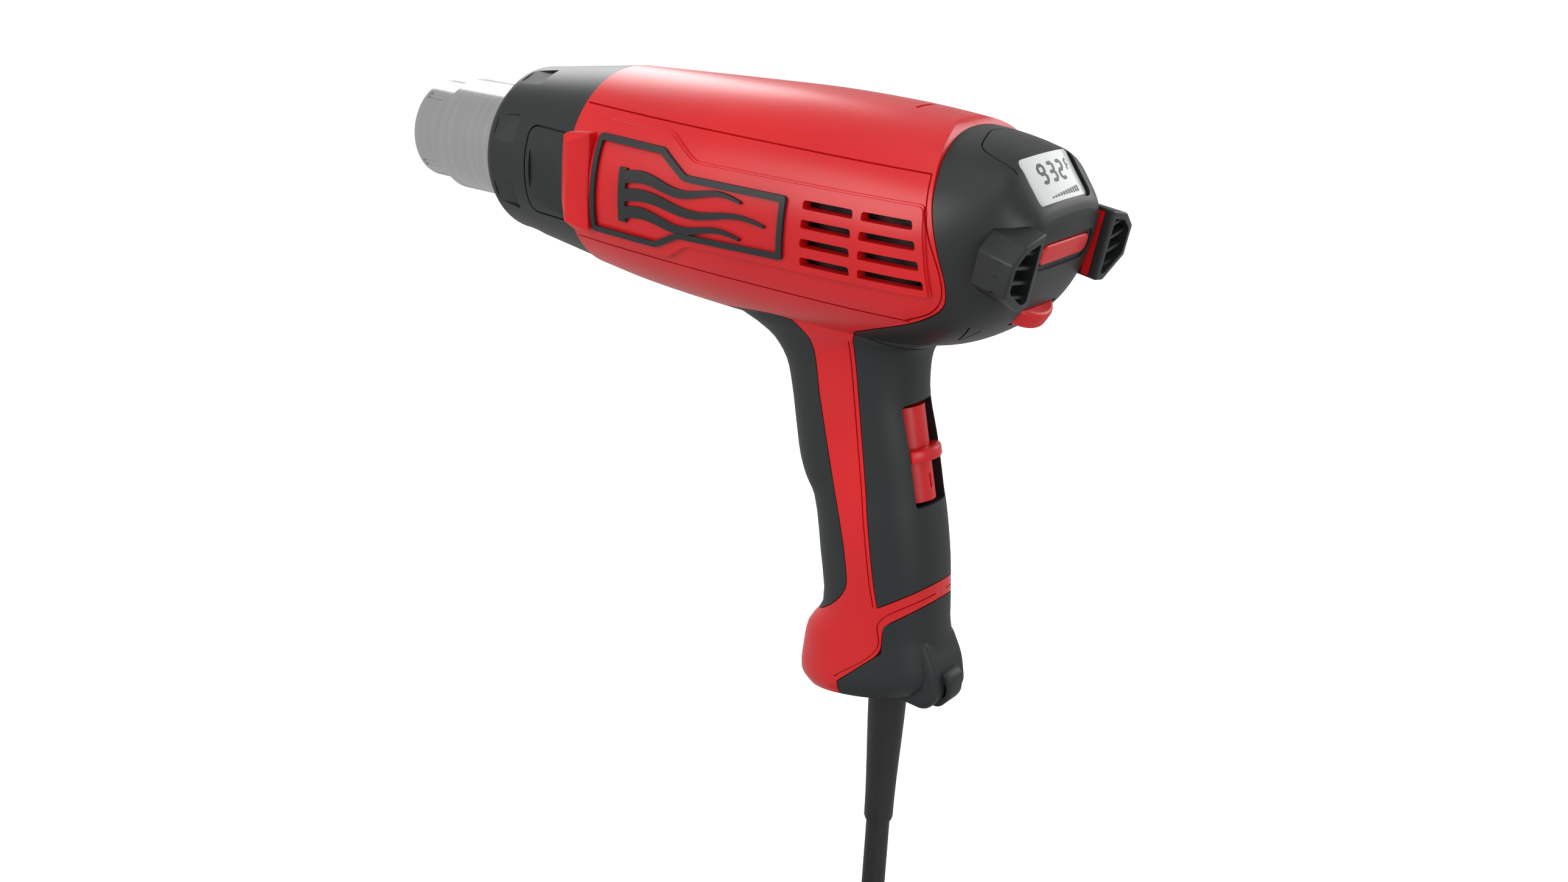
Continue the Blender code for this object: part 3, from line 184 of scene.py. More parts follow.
# Extruded PVC sheath: dark and slightly waxy.
cordSheath = mouldedPlastic(
    "extrudedCordSheath",
    {
        "colour": "202122", "deep": "1b1c1d", "roughness": 0.48, "glossSpread": 0.05,
        "drift": 25.0, "grain": 0.8, "grainStrength": 0.15, "coat": 0.0, "coatRoughness": 0.4,
        "ior": 1.5,
    },
)
whiteNylon = mouldedPlastic(
    "naturalMouldedNylon",
    {
        "colour": "dedbd0", "deep": "d3d0c4", "roughness": 0.5, "glossSpread": 0.04, "drift": 20.0,
        "grain": 0.5, "grainStrength": 0.15, "coat": 0.0, "coatRoughness": 0.4, "ior": 1.5,
    },
)
print("plastics made")


# Metal drawn or turned along one way, with faint lines in its colour and gloss.
def brushedMetal(name, look):
    made, tree, shader, place = newMaterial(name, look["colour"], look["roughness"], 1.0)
    squeezed = addNode(tree, "ShaderNodeMapping", {"Vector": place, "Scale": look["stretch"]})
    lineInputs = {"Vector": squeezed.outputs["Vector"], "Scale": perMetre(look["lines"]), "Detail": 4.0}
    lines = addNode(tree, "ShaderNodeTexNoise", lineInputs)
    low, high = look["roughness"] - look["spread"], look["roughness"] + look["spread"]
    fac = lines.outputs["Fac"]
    glossInputs = {"Value": fac, "From Min": 0.3, "From Max": 0.7, "To Min": low, "To Max": high}
    gloss = addNode(tree, "ShaderNodeMapRange", glossInputs)
    shade = addNode(tree, "ShaderNodeValToRGB", {"Fac": fac})
    shade.color_ramp.elements[0].position = 0.35
    shade.color_ramp.elements[0].color = hexColour(look["dark"])
    shade.color_ramp.elements[1].position = 0.65
    shade.color_ramp.elements[1].color = hexColour(look["colour"])
    bump = addNode(tree, "ShaderNodeBump", {"Height": fac, "Strength": look["bump"], "Distance": 0.03 * mm})
    links = {
        "Base Color": shade.outputs["Color"],
        "Roughness": gloss.outputs["Result"],
        "Normal": bump.outputs["Normal"],
    }
    feed(tree, shader, links)
    return made


# Stainless tube, finely brushed on a lathe, so its rings barely show.
nozzleSteel = brushedMetal(
    "brushedStainless",
    {
        "colour": "d2d2d1", "dark": "cbcbca", "roughness": 0.2, "spread": 0.01,
        "stretch": (1.0, 0.02, 0.02), "lines": 2.0, "bump": 0.004,
    },
)
platedSteel = brushedMetal(
    "zincPlatedSteel",
    {
        "colour": "b4b6b8", "dark": "9c9fa2", "roughness": 0.35, "spread": 0.06,
        "stretch": (1.0, 1.0, 1.0), "lines": 1.5, "bump": 0.2,
    },
)
plugBrass = brushedMetal(
    "rolledBrass",
    {
        "colour": "d9b76a", "dark": "c4a056", "roughness": 0.3, "spread": 0.06,
        "stretch": (0.05, 1.0, 1.0), "lines": 0.4, "bump": 0.1,
    },
)
# Resistance wire blued by its first heating.
heaterWire = brushedMetal(
    "oxidisedResistanceWire",
    {
        "colour": "8d6f5c", "dark": "5f5560", "roughness": 0.45, "spread": 0.06,
        "stretch": (1.0, 1.0, 1.0), "lines": 2.0, "bump": 0.2,
    },
)


# Pressed mica board: warm grey flakes with a pearly gleam.
def layeredMica(name):
    made, tree, shader, place = newMaterial(name, "b9a98a", 0.5)
    flakes = addNode(tree, "ShaderNodeTexVoronoi", {"Vector": place, "Scale": perMetre(2.5)})
    shade = addNode(tree, "ShaderNodeValToRGB", {"Fac": flakes.outputs["Distance"]})
    shade.color_ramp.elements[0].color = hexColour("c9bb9c")
    shade.color_ramp.elements[1].color = hexColour("96876b")
    feed(tree, shader, {"Base Color": shade.outputs["Color"]})
    return made


# Solder mask over copper tracks, which show as a paler square pattern.
def circuitBoardFinish(name):
    made, tree, shader, place = newMaterial(name, "12602f", 0.3)
    trackInputs = {
        "Vector": place,
        "Scale": perMetre(6.0),
        "Mortar Size": 0.08,
        "Color1": hexColour("12602f"),
        "Color2": hexColour("0f5428"),
        "Mortar": hexColour("3c8f4d"),
    }
    tracks = addNode(tree, "ShaderNodeTexBrick", trackInputs)
    feed(tree, shader, {"Base Color": tracks.outputs["Color"]})
    return made


# A dark woven dust screen behind the vents, drawn coarse enough to show.
def screenMesh(name):
    made, tree, shader, place = newMaterial(name, "171717", 0.6)
    turned = addNode(tree, "ShaderNodeMapping", {"Vector": place, "Rotation": (0.0, math.radians(45), 0.0)})
    threadInputs = {"Vector": turned.outputs["Vector"], "Scale": perMetre(1.4) / 20, "Distortion": 0.0}
    threads = addNode(tree, "ShaderNodeTexWave", threadInputs, bands_direction="X")
    shade = addNode(tree, "ShaderNodeValToRGB", {"Fac": threads.outputs["Fac"]})
    shade.color_ramp.elements[0].color = hexColour("0b0b0b")
    shade.color_ramp.elements[1].color = hexColour("4a2a2a")
    weave = {"Height": threads.outputs["Fac"], "Strength": 0.6, "Distance": 0.2 * mm}
    bump = addNode(tree, "ShaderNodeBump", weave)
    feed(tree, shader, {"Base Color": shade.outputs["Color"], "Normal": bump.outputs["Normal"]})
    return made


# The display's pale reflective layer, under a clear glossy window.
def liquidCrystal(name):
    made, tree, shader, place = newMaterial(name, "c2c5c4", 0.4)
    tint = addNode(tree, "ShaderNodeTexNoise", {"Vector": place, "Scale": perMetre(12.0), "Detail": 1.0})
    shade = addNode(tree, "ShaderNodeValToRGB", {"Fac": tint.outputs["Fac"]})
    shade.color_ramp.elements[0].color = hexColour("bbbfbe")
    shade.color_ramp.elements[1].color = hexColour("c8cac9")
    feed(tree, shader, {"Base Color": shade.outputs["Color"], "Coat Weight": 0.6, "Coat Roughness": 0.08})
    return made


# Printed or liquid-crystal black, with a faint mottle in its gloss.
def plainInk(name, colour, roughness):
    made, tree, shader, place = newMaterial(name, colour, roughness)
    mottle = addNode(tree, "ShaderNodeTexNoise", {"Vector": place, "Scale": perMetre(1.0)})
    glossInputs = {"Value": mottle.outputs["Fac"], "To Min": roughness - 0.05, "To Max": roughness + 0.05}
    gloss = addNode(tree, "ShaderNodeMapRange", glossInputs)
    feed(tree, shader, {"Roughness": gloss.outputs["Result"]})
    return made


mica = layeredMica("pressedMica")
boardFinish = circuitBoardFinish("solderMaskedBoard")
dustScreen = screenMesh("wovenDustScreen")
displayLayer = liquidCrystal("liquidCrystalLayer")
displayInk = plainInk("liquidCrystalSegments", "1c1f20", 0.4)
print("other finishes made")


# Outlines and stations


# Rows of numbers on a smooth curve through the given ones; close rows bend it less.
def smoothRows(rows, steps):
    rows = [Vector(row) for row in rows]
    spans = [(b - a).length ** 0.5 for a, b in zip(rows, rows[1:])]
    slopes = [(b - a) / span for a, b, span in zip(rows, rows[1:], spans)]
    leans = [slopes[0]]
    for i in range(1, len(slopes)):
        before, after = spans[i - 1], spans[i]
        leans.append((slopes[i - 1] * after + slopes[i] * before) / (before + after))
    leans.append(slopes[-1])
    made = [tuple(rows[0])]
    for i, span in enumerate(spans):
        for step in range(1, steps + 1):
            t = step / steps
            ends = rows[i] * (2 * t**3 - 3 * t**2 + 1) + rows[i + 1] * (3 * t**2 - 2 * t**3)
            bends = leans[i] * (t**3 - 2 * t**2 + t) + leans[i + 1] * (t**3 - t**2)
            made.append(tuple(ends + bends * span))
    return made


# The outline with each corner eased over about the radius.
def roundCorners(outline, radius, steps=4):
    made = []
    for i, here in enumerate(outline):
        here = Vector(here)
        before, after = Vector(outline[i - 1]), Vector(outline[(i + 1) % len(outline)])
        back, on = before - here, after - here
        start = here + back.normalized() * min(radius, back.length * 0.45)
        end = here + on.normalized() * min(radius, on.length * 0.45)
        for step in range(steps + 1):
            t = step / steps
            made.append(tuple(start * (1 - t) ** 2 + here * 2 * t * (1 - t) + end * t**2))
    return made


# Each side moved inwards; a negative distance moves it out.
def insetOutline(outline, distance):
    area = sum(a[0] * b[1] - b[0] * a[1] for a, b in zip(outline, outline[1:] + outline[:1]))
    inward = distance if area > 0 else -distance
    lines = []
    for start, end in zip(outline, outline[1:] + outline[:1]):
        along = (Vector(end) - Vector(start)).normalized()
        lines.append((Vector(start) + inward * Vector((-along.y, along.x)), along))
    moved = []
    for (placeA, alongA), (placeB, alongB) in zip(lines[-1:] + lines[:-1], lines):
        crossing = alongA.cross(alongB)
        if abs(crossing) < 0.02:
            moved.append(tuple(placeB))
        else:
            moved.append(tuple(placeA + alongA * ((placeB - placeA).cross(alongB) / crossing)))
    return moved


def roundedRectangle(width, height, radius, steps=6):
    corners = [(width / 2, height / 2), (-width / 2, height / 2)]
    corners += [(-width / 2, -height / 2), (width / 2, -height / 2)]
    return roundCorners(corners, radius * 1.3, steps)


# Mesh tools: everything is built in the gun's millimetres


def toObject(name, bm):
    mesh = bpy.data.meshes.new(name)
    bm.to_mesh(mesh)
    bm.free()
    obj = bpy.data.objects.new(name, mesh)
    bpy.context.scene.collection.objects.link(obj)
    return obj


# A closed ring of edges through the points.
def placeRing(bm, points):
    ring = bmesh.ops.create_circle(bm, segments=len(points), radius=1.0)["verts"]
    for vert, point in zip(ring, points):
        vert.co = point
    return list({edge for vert in ring for edge in vert.link_edges})


# A closed solid bridged from ring to ring.
def skin(name, rings):
    bm = bmesh.new()
    loops = [placeRing(bm, points) for points in rings]
    for here, after in zip(loops, loops[1:]):
        bmesh.ops.bridge_loops(bm, edges=here + after)
    bmesh.ops.holes_fill(bm, edges=loops[0] + loops[-1], sides=0)
    bmesh.ops.recalc_face_normals(bm, faces=bm.faces)
    return toObject(name, bm)


sideView = Matrix.Rotation(math.radians(90), 4, "X")
fromAbove = Matrix.Identity(4)


# Rounds over each edge whose faces turn by more than the angle in degrees.
def easeRims(bm, width, segments, angle):
    rims = [edge for edge in bm.edges if edge.is_manifold and edge.calc_face_angle() > math.radians(angle)]
    bmesh.ops.bevel(
        bm,
        geom=rims,
        offset=width,
        segments=segments,
        profile=0.5,
        affect="EDGES",
        material=-1,
        clamp_overlap=True,
    )


# An outline pushed out from low to high, with its rims eased by edge.
def prism(name, outline, low, high, place=sideView, edge=0.0, segments=2):
    bm = bmesh.new()
    face = bm.faces.new([bm.verts.new((u, v, low)) for u, v in outline])
    pushed = bmesh.ops.extrude_face_region(bm, geom=[face])["geom"]
    top = [item for item in pushed if isinstance(item, bmesh.types.BMVert)]
    bmesh.ops.translate(bm, verts=top, vec=(0.0, 0.0, high - low))
    bmesh.ops.recalc_face_normals(bm, faces=bm.faces)
    if edge:
        easeRims(bm, edge, segments, 40)
    bm.transform(place)
    return toObject(name, bm)


# A box between two corners.
def block(name, low, high):
    bm = bmesh.new()
    bmesh.ops.create_cube(bm, size=1.0)
    low, high = Vector(low), Vector(high)
    bmesh.ops.scale(bm, vec=high - low, verts=bm.verts)
    bmesh.ops.translate(bm, vec=(low + high) / 2, verts=bm.verts)
    return toObject(name, bm)


def rod(name, start, end, radius, sides=48):
    start, end = Vector(start), Vector(end)
    length = (end - start).length
    bm = bmesh.new()
    bmesh.ops.create_cone(bm, cap_ends=True, segments=sides, radius1=radius, radius2=radius, depth=length)
    turn = (end - start).to_track_quat("Z", "Y").to_matrix().to_4x4()
    bm.transform(Matrix.Translation((start + end) / 2) @ turn)
    return toObject(name, bm)


# A profile of (distance behind base, radius) spun round the axis through base.
def turned(name, profile, base=(0.0, 0.0, 0.0), axis=(-1.0, 0.0, 0.0), steps=96):
    bm = bmesh.new()
    verts = [bm.verts.new((radius, 0.0, -behind)) for behind, radius in profile]
    edges = [bm.edges.new(pair) for pair in zip(verts, verts[1:] + verts[:1])]
    bmesh.ops.spin(
        bm,
        geom=verts + edges,
        cent=(0.0, 0.0, 0.0),
        axis=(0.0, 0.0, 1.0),
        angle=2 * math.pi,
        steps=steps,
        use_merge=True,
        use_duplicate=False,
    )
    bmesh.ops.remove_doubles(bm, verts=bm.verts, dist=0.001)
    bmesh.ops.recalc_face_normals(bm, faces=bm.faces)
    turn = Vector(axis).to_track_quat("Z", "Y").to_matrix().to_4x4()
    bm.transform(Matrix.Translation(base) @ turn)
    return toObject(name, bm)


# Runs a change on the object's mesh as a bmesh.
def remesh(obj, change):
    bm = bmesh.new()
    bm.from_mesh(obj.data)
    change(bm)
    bm.to_mesh(obj.data)
    bm.free()
    return obj


def bakedMesh(obj):
    bpy.context.view_layer.update()
    return bpy.data.meshes.new_from_object(obj.evaluated_get(bpy.context.evaluated_depsgraph_get()))


def tidyMesh(bm):
    bmesh.ops.remove_doubles(bm, verts=bm.verts, dist=0.004)
    bmesh.ops.dissolve_degenerate(bm, edges=bm.edges, dist=0.004)


# Cuts, joins or intersects the target with each other object in turn.
def carve(target, others, operation="DIFFERENCE", keep=False):
    for other in others if isinstance(others, list) else [others]:
        step = target.modifiers.new("carve", "BOOLEAN")
        step.operation = operation
        step.solver = "EXACT"
        step.object = other
        mesh = bakedMesh(target)
        target.modifiers.clear()
        target.data = mesh
        remesh(target, tidyMesh)
        if not keep:
            bpy.data.objects.remove(other)
    return target


def copyOf(obj, name):
    made = bpy.data.objects.new(name, obj.data.copy())
    bpy.context.scene.collection.objects.link(made)
    return made


# Separate solids in one mesh.
def joined(name, parts):
    bm = bmesh.new()
    for part in parts:
        bm.from_mesh(part.data)
        bpy.data.objects.remove(part)
    return toObject(name, bm)


def mirrored(obj, name):
    def flip(bm):
        bmesh.ops.scale(bm, vec=(1.0, -1.0, 1.0), verts=bm.verts)
        bmesh.ops.reverse_faces(bm, faces=bm.faces)

    return remesh(copyOf(obj, name), flip)


sharpAngle = 32.0  # degrees between faces past which an edge looks sharp


# Names a piece, carries it to the shared frame and hides the part that it stands for.
def finished(obj, name, finish, replaced=None, body="root"):
    obj.name = name
    obj.data.transform(gunToRow)
    obj.data.materials.clear()
    obj.data.materials.append(finish)
    obj.data.shade_smooth()
    obj.data.set_sharp_from_angle(angle=math.radians(sharpAngle))
    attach(obj, body)
    if replaced:
        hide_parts(replaced)


# Cord: out of the sleeve, down to the surface, round the coil and out to the plug

cordSettings = {
    "radius": 4.0,
    "length": 1.83,
    "exit": (201.8, 0.0, -205.0),
    "coilCentre": (166.0, -63.4),
    "coilRadius": 47.0,
    "lowLayer": -286.5,
    "highLayer": -278.5,
    "turns": 5.5,
    "pointsPerTurn": 16,
    "tail": ((175.0, -126.8, -288.0), (190.0, -126.8, -286.0), (206.5, -126.8, -280.0)),
}
cordRoute = (
    (201.8, 0.0, -190.0), (201.8, 0.0, -205.3), (201.8, 0.0, -222.0), (201.6, 0.0, -238.0),
    (199.6, 0.0, -254.0), (194.0, 0.0, -268.5), (184.0, 0.0, -280.5), (170.0, 0.0, -287.2),
)


# Where the cord lies after that many turns: low layer inwards, high layer outwards.
def coilPoint(turns):
    middle, step = cordSettings["coilRadius"], 2 * cordSettings["radius"]
    low, high = cordSettings["lowLayer"], cordSettings["highLayer"]
    rows = (
        (0.0, middle + 2.05 * step, low - 1.5),
        (0.3, middle + step, low),
        (2.3, middle - step, low),
        (2.55, middle - 1.15 * step, (low + high) / 2),
        (2.8, middle - step, high),
        (4.8, middle + step, high),
        (5.1, middle + 1.25 * step, high - 0.5),
        (5.3, middle + 1.8 * step, high - 5.0),
        (5.5, middle + 2.05 * step, low - 1.5),
    )
    for (startTurn, startRadius, startHeight), (endTurn, endRadius, endHeight) in zip(rows, rows[1:]):
        if turns <= endTurn:
            share = (turns - startTurn) / (endTurn - startTurn)
            radius = startRadius + share * (endRadius - startRadius)
            height = startHeight + share * (endHeight - startHeight)
            break
    angle = math.radians(90.0 + 360.0 * turns)
    x, y = cordSettings["coilCentre"]
    return (x + radius * math.cos(angle), y + radius * math.sin(angle), height)


def makeCord():
    turns = cordSettings["turns"]
    count = round(turns * cordSettings["pointsPerTurn"])
    coil = [coilPoint(turns * i / count) for i in range(count + 1)]
    route = [*cordRoute, *coil, *cordSettings["tail"]]
    data = bpy.data.curves.new("powerCord", "CURVE")
    data.dimensions = "3D"
    data.bevel_depth = cordSettings["radius"] * mm
    data.bevel_resolution = 5
    data.use_fill_caps = True
    fine = smoothRows(route, 4)
    spline = data.splines.new("POLY")
    spline.points.add(len(fine) - 1)
    for point, place in zip(spline.points, fine):
        point.co = (*rowPoint(place), 1.0)
    spline.use_smooth = True
    cord = bpy.data.objects.new("powerCord", data)
    bpy.context.scene.collection.objects.link(cord)
    data.materials.append(cordSheath)
    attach(cord, "root")
    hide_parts("cord_tube", "cord_coil", "cord_tail")
    return cord


powerCord = makeCord()
print("cord laid")


# Casing skins

# x, half width, top, bottom, height of the centre, squareness
barrelStations = (
    (87.4, 33.4, 33.2, -33.4, 0.0, 2.1),
    (107.0, 35.0, 34.0, -35.6, 0.0, 2.15),
    (137.0, 36.6, 35.2, -37.3, 0.0, 2.2),
    (166.0, 37.0, 36.2, -38.0, 0.0, 2.2),
    (194.0, 37.0, 35.8, -37.0, 0.0, 2.2),
    (209.0, 36.5, 34.9, -35.0, 0.0, 2.2),
    (219.0, 35.7, 33.8, -32.8, 0.0, 2.25),
    (227.0, 34.2, 32.1, -29.8, 0.5, 2.35),
    (234.0, 31.8, 30.0, -25.8, 1.5, 2.5),
    (240.0, 28.8, 27.4, -20.6, 3.0, 2.7),
    (244.0, 26.0, 22.3, -14.4, 5.0, 2.8),
    (247.0, 22.8, 18.2, -6.8, 7.0, 2.9),
    (249.3, 19.0, 14.6, 1.5, 8.5, 3.0),
    (250.2, 16.0, 12.0, 5.0, 8.8, 3.0),
)
# z, front x, rear x, half width
handleStations = (
    (-24.0, 136.0, 214.0, 24.0),
    (-33.0, 135.0, 212.0, 22.0),
    (-37.5, 144.0, 207.5, 19.8),
    (-41.5, 152.0, 205.6, 18.9),
    (-48.0, 158.0, 205.0, 18.5),
    (-56.0, 160.8, 205.6, 18.5),
    (-68.0, 163.2, 209.2, 18.5),
    (-79.0, 165.6, 211.9, 18.5),
    (-85.0, 168.2, 213.2, 18.5),
    (-90.7, 172.0, 214.6, 18.5),
    (-108.0, 175.8, 217.6, 18.4),
    (-125.0, 178.2, 219.0, 18.6),
    (-133.0, 172.8, 219.8, 19.3),
    (-140.0, 171.6, 221.4, 20.0),
    (-148.5, 171.4, 222.8, 20.4),
    (-152.5, 174.4, 220.0, 18.6),
)
casing = {
    "wall": 2.6,
    "handleSquareness": 2.3,
    "heelSlope": 0.17,
    "gripThickness": 3.0,
    "gap": 0.3,
    "barrelPoints": 112,
    "handlePoints": 96,
    "barrelSteps": 5,
    "handleSteps": 3,
}


def superellipse(angle, squareness):
    cosine, sine = round(math.cos(angle), 9), round(math.sin(angle), 9)
    power = 2.0 / squareness
    return math.copysign(abs(cosine) ** power, cosine), math.copysign(abs(sine) ** power, sine)


def ringAngles(count):
    return [2 * math.pi * i / count for i in range(count)]


# The barrel's solid, grown by offset; sunkTop lowers the crown where the cap meets the shell.
def barrelSkin(name, offset=0.0, last=None, startX=None, coarse=1, sunkTop=0.0):
    rings = []
    rows = smoothRows(barrelStations[:last], casing["barrelSteps"] // coarse)
    for x, half, top, bottom, middle, square in rows:
        top -= sunkTop * min(1.0, max(0.0, (238.0 - x) / 20.0))
        ring = []
        for angle in ringAngles(casing["barrelPoints"] // coarse):
            across, up = superellipse(angle, square)
            reach = (top - middle if up > 0 else middle - bottom) + offset
            ring.append(Vector((x, across * (half + offset), middle + up * reach)))
        rings.append(ring)
    if startX is not None:
        for point in rings[0]:
            point.x = startX
    if offset and last is None:
        for point in rings[-1]:
            point.x += offset
    return skin(name, rings)


# The handle's solid, grown by offset, whose last ring is lowered by drop.
def handleSkin(name, offset=0.0, last=None, drop=0.0, coarse=1):
    rings = []
    for z, front, rear, half in smoothRows(handleStations[:last], casing["handleSteps"] // coarse):
        middle, depth = (front + rear) / 2, (rear - front) / 2
        slope = casing["heelSlope"] * min(1.0, max(0.0, (-90.0 - z) / 50.0))
        ring = []
        for angle in ringAngles(casing["handlePoints"] // coarse):
            along, across = superellipse(angle, casing["handleSquareness"])
            x = middle + along * (depth + offset)
            ring.append(Vector((x, across * (half + offset), z + slope * (x - middle))))
        rings.append(ring)
    for point in rings[-1]:
        point.z -= drop
    return skin(name, rings)


capSink = 1.7  # how far the cap's crown lies below the red shell's
wholeBody = carve(barrelSkin("wholeBody"), handleSkin("wholeHandle"), "UNION")
sunkBody = carve(barrelSkin("sunkBody", sunkTop=capSink), handleSkin("sunkHandle"), "UNION")
hollow = barrelSkin("hollow", -casing["wall"], 11, startX=80.0, coarse=2)
handleCore = -(casing["gripThickness"] + casing["gap"])
carve(hollow, handleSkin("handleHollow", handleCore - 2.0, 13, coarse=3), "UNION")
print("casing skins made")

# Outlines in side view
redRear = smoothRows(
    (
        (213.4, 35.0), (215.2, 33.9), (216.8, 32.5), (218.3, 30.2), (221.2, 22.3), (223.3, 13.9),
        (227.0, 1.7), (229.6, -8.0), (228.4, -14.3), (220.0, -20.4), (199.0, -28.5), (193.0, -31.4),
        (191.3, -36.4), (192.3, -46.2), (197.5, -75.4), (203.7, -110.4), (206.0, -119.5),
    ),
    4,
)
redToGrip = 11  # the station of redRear where the cap ends and the grip begins
capSeam = [(205.0, -35.6), (232.0, -45.0)]
stripeTop = (240.0, -98.2)
stripeBottom = (240.0, -102.0)
stripeFoot = (208.2, -125.4)
endSeam = [(208.5, -134.5), (194.6, -147.8), (194.9, -152.0)]
bandFront = smoothRows(
    (
        (133.0, -36.6), (145.0, -33.4), (168.0, -31.2), (172.6, -33.0), (176.2, -37.4),
        (179.7, -53.7), (186.0, -78.1), (193.5, -108.0), (194.0, -116.0), (188.0, -124.0),
        (168.0, -137.0),
    ),
    4,
)
sky, ground = 60.0, -190.0


# Half the gap inside the outline, right across the gun.
def region(name, outline):
    return prism(name, insetOutline(outline, casing["gap"] / 2), -70.0, 70.0)


def redRegion():
    outline = [(80.0, sky), (213.4, sky), *redRear]
    outline += [stripeTop, stripeBottom, *roundCorners([stripeBottom, stripeFoot, endSeam[0]], 3.0)[5:10]]
    outline += [*roundCorners([stripeFoot, *endSeam[:2]], 3.0)[5:10], *endSeam[1:], (endSeam[-1][0], ground)]
    outline += [(150.0, ground), (150.0, -160.0), *reversed(bandFront), (125.0, -50.0), (80.0, -50.0)]
    return region("redRegion", outline)


def capRegion():
    top = redRear[: redToGrip * 4 + 1]
    return region("capRegion", [(213.4, sky), *top, *capSeam, (270.0, -45.0), (270.0, sky)])


def rearGripRegion():
    outline = [redRear[redToGrip * 4], *capSeam, (stripeTop[0], -60.0), stripeTop]
    return region("rearGripRegion", outline + redRear[: redToGrip * 4 : -1])


def frontGripRegion():
    return region("frontGripRegion", [(124.9, -50.1), *bandFront, (149.9, -160.1)])


def endRegion():
    outline = [stripeFoot, stripeBottom, (stripeBottom[0], ground), (endSeam[-1][0], ground)]
    return region("endRegion", outline + endSeam[::-1])


# Red clamshell

sidePanel = {
    "sink": 1.4,
    "height": 1.5,
    "plateau": [
        (95.0, -15.4), (95.0, 15.0), (101.3, 21.6), (128.8, 21.4), (141.0, 14.4), (222.0, 14.4),
        (226.1, -11.9), (139.9, -12.2), (130.5, -18.0), (104.0, -18.0),
    ],
    "lug": [(87.6, 5.1), (90.1, 16.0), (99.2, 17.0), (99.2, -14.4), (93.6, -15.0), (87.6, -5.0)],
    "lugPlan": [(87.6, -20.0), (87.6, -36.0), (92.2, -39.4), (99.2, -36.3), (99.2, -20.0)],
    "lugFront": [
        (-20.0, 17.5), (-35.4, 17.5), (-39.8, 12.6), (-39.8, -11.4), (-35.4, -15.6), (-20.0, -15.6),
    ],
    "corner": 2.2,
}
vents = {
    "rowTops": (10.0, 4.4, -1.2, -6.8),
    "height": 2.6,
    "columns": ((183.2, 200.0), (203.2, 219.3)),
    "slant": 1.5,
    "corner": 0.8,
}
# Parting lines of the side panel, cut as fine grooves.
grooves = {
    "width": 0.45,
    "depth": 0.75,
    "fine": 0.4,
    "fineDepth": 0.6,
    "reach": 3.0,
    "lines": (
        ((88.5, 23.8), (120.0, 23.4), (170.0, 22.9), (219.9, 22.2)),
        ((88.5, -18.9), (150.0, -19.9), (217.0, -21.0)),
        ((219.9, 22.2), (223.1, 8.3), (228.2, -5.4), (228.2, -11.7), (224.7, -16.5), (215.0, -21.2)),
    ),
}


# A strip of that width along a line, as one outline.
def ribbon(points, width):
    line = smoothRows(points, 6)
    sides = []
    for i, here in enumerate(line):
        along = Vector(line[min(i + 1, len(line) - 1)]) - Vector(line[max(i - 1, 0)])
        out = Vector((-along.y, along.x)).normalized() * width / 2
        sides.append((Vector(here) + out, Vector(here) - out))
    return [tuple(a) for a, b in sides] + [tuple(b) for a, b in reversed(sides)]


# What lies under the strips between the barrel's skin and that depth.
def shallow(name, strips, depth):
    shell = barrelSkin(name, grooves["reach"])
    carve(shell, barrelSkin(name + "Inside", -depth))
    return carve(shell, strips, "INTERSECT")


def sideRelief(name, outline, height, sink=sidePanel["sink"]):
    relief = barrelSkin(name, height)
    carve(relief, prism(name + "Outline", outline, 5.0, 70.0), "INTERSECT")
    return carve(relief, barrelSkin(name + "Inside", -sink))


# The panel stands in two steps, which gives its rim a chamfer.
def raisedPanel():
    outline = roundCorners(sidePanel["plateau"], sidePanel["corner"])
    foot = sideRelief("panelFoot", outline, sidePanel["height"] * 0.55)
    top = sideRelief("panelTop", insetOutline(outline, 0.45), sidePanel["height"])
    return carve(foot, top, "UNION")


def frontLug():
    lug = prism("lug", roundCorners(sidePanel["lug"], 1.0), 20.0, 70.0)
    plan = prism("lugPlan", roundCorners(sidePanel["lugPlan"], 0.8), -40.0, 40.0, fromAbove)
    endOn = Matrix.Rotation(math.radians(90), 4, "Z") @ Matrix.Rotation(math.radians(90), 4, "X")
    front = prism("lugFront", roundCorners(sidePanel["lugFront"], 1.0), 80.0, 110.0, endOn)
    carve(lug, [plan, front], "INTERSECT")
    return carve(lug, barrelSkin("lugInside", -sidePanel["sink"]))


def ventCutters():
    cutters = []
    for row, top in enumerate(vents["rowTops"]):
        bottom = top - vents["height"]
        for column, (start, end) in enumerate(vents["columns"]):
            end += vents["slant"] * row * column
            corners = [(start, top), (end, top), (end + 0.5, bottom), (start - 0.2, bottom)]
            cutters.append(prism("vent", roundCorners(corners, vents["corner"]), 10.0, 60.0))
    return joined("ventCutters", cutters)


switch = {
    "lean": math.atan2(16.5, 70.0),
    "middle": (209.2, -71.0),
    "halfLength": 16.0,
    "halfWidth": 8.0,
    "trackRadius": 6.8,
    "tabRadius": 10.4,
    "tabHeight": 4.0,
    "tabCut": 1.5,
    "markPlace": -9.0,
    "markSize": ((-0.5, -0.45, -2.4), (0.7, 0.45, 2.4)),
}


# A point along the slide switch's line, which leans with the handle.
def switchLine(distance, outward=0.0):
    x, z = switch["middle"]
    lean = switch["lean"]
    along = x - distance * math.sin(lean) + outward * math.cos(lean)
    return along, z + distance * math.cos(lean) + outward * math.sin(lean)


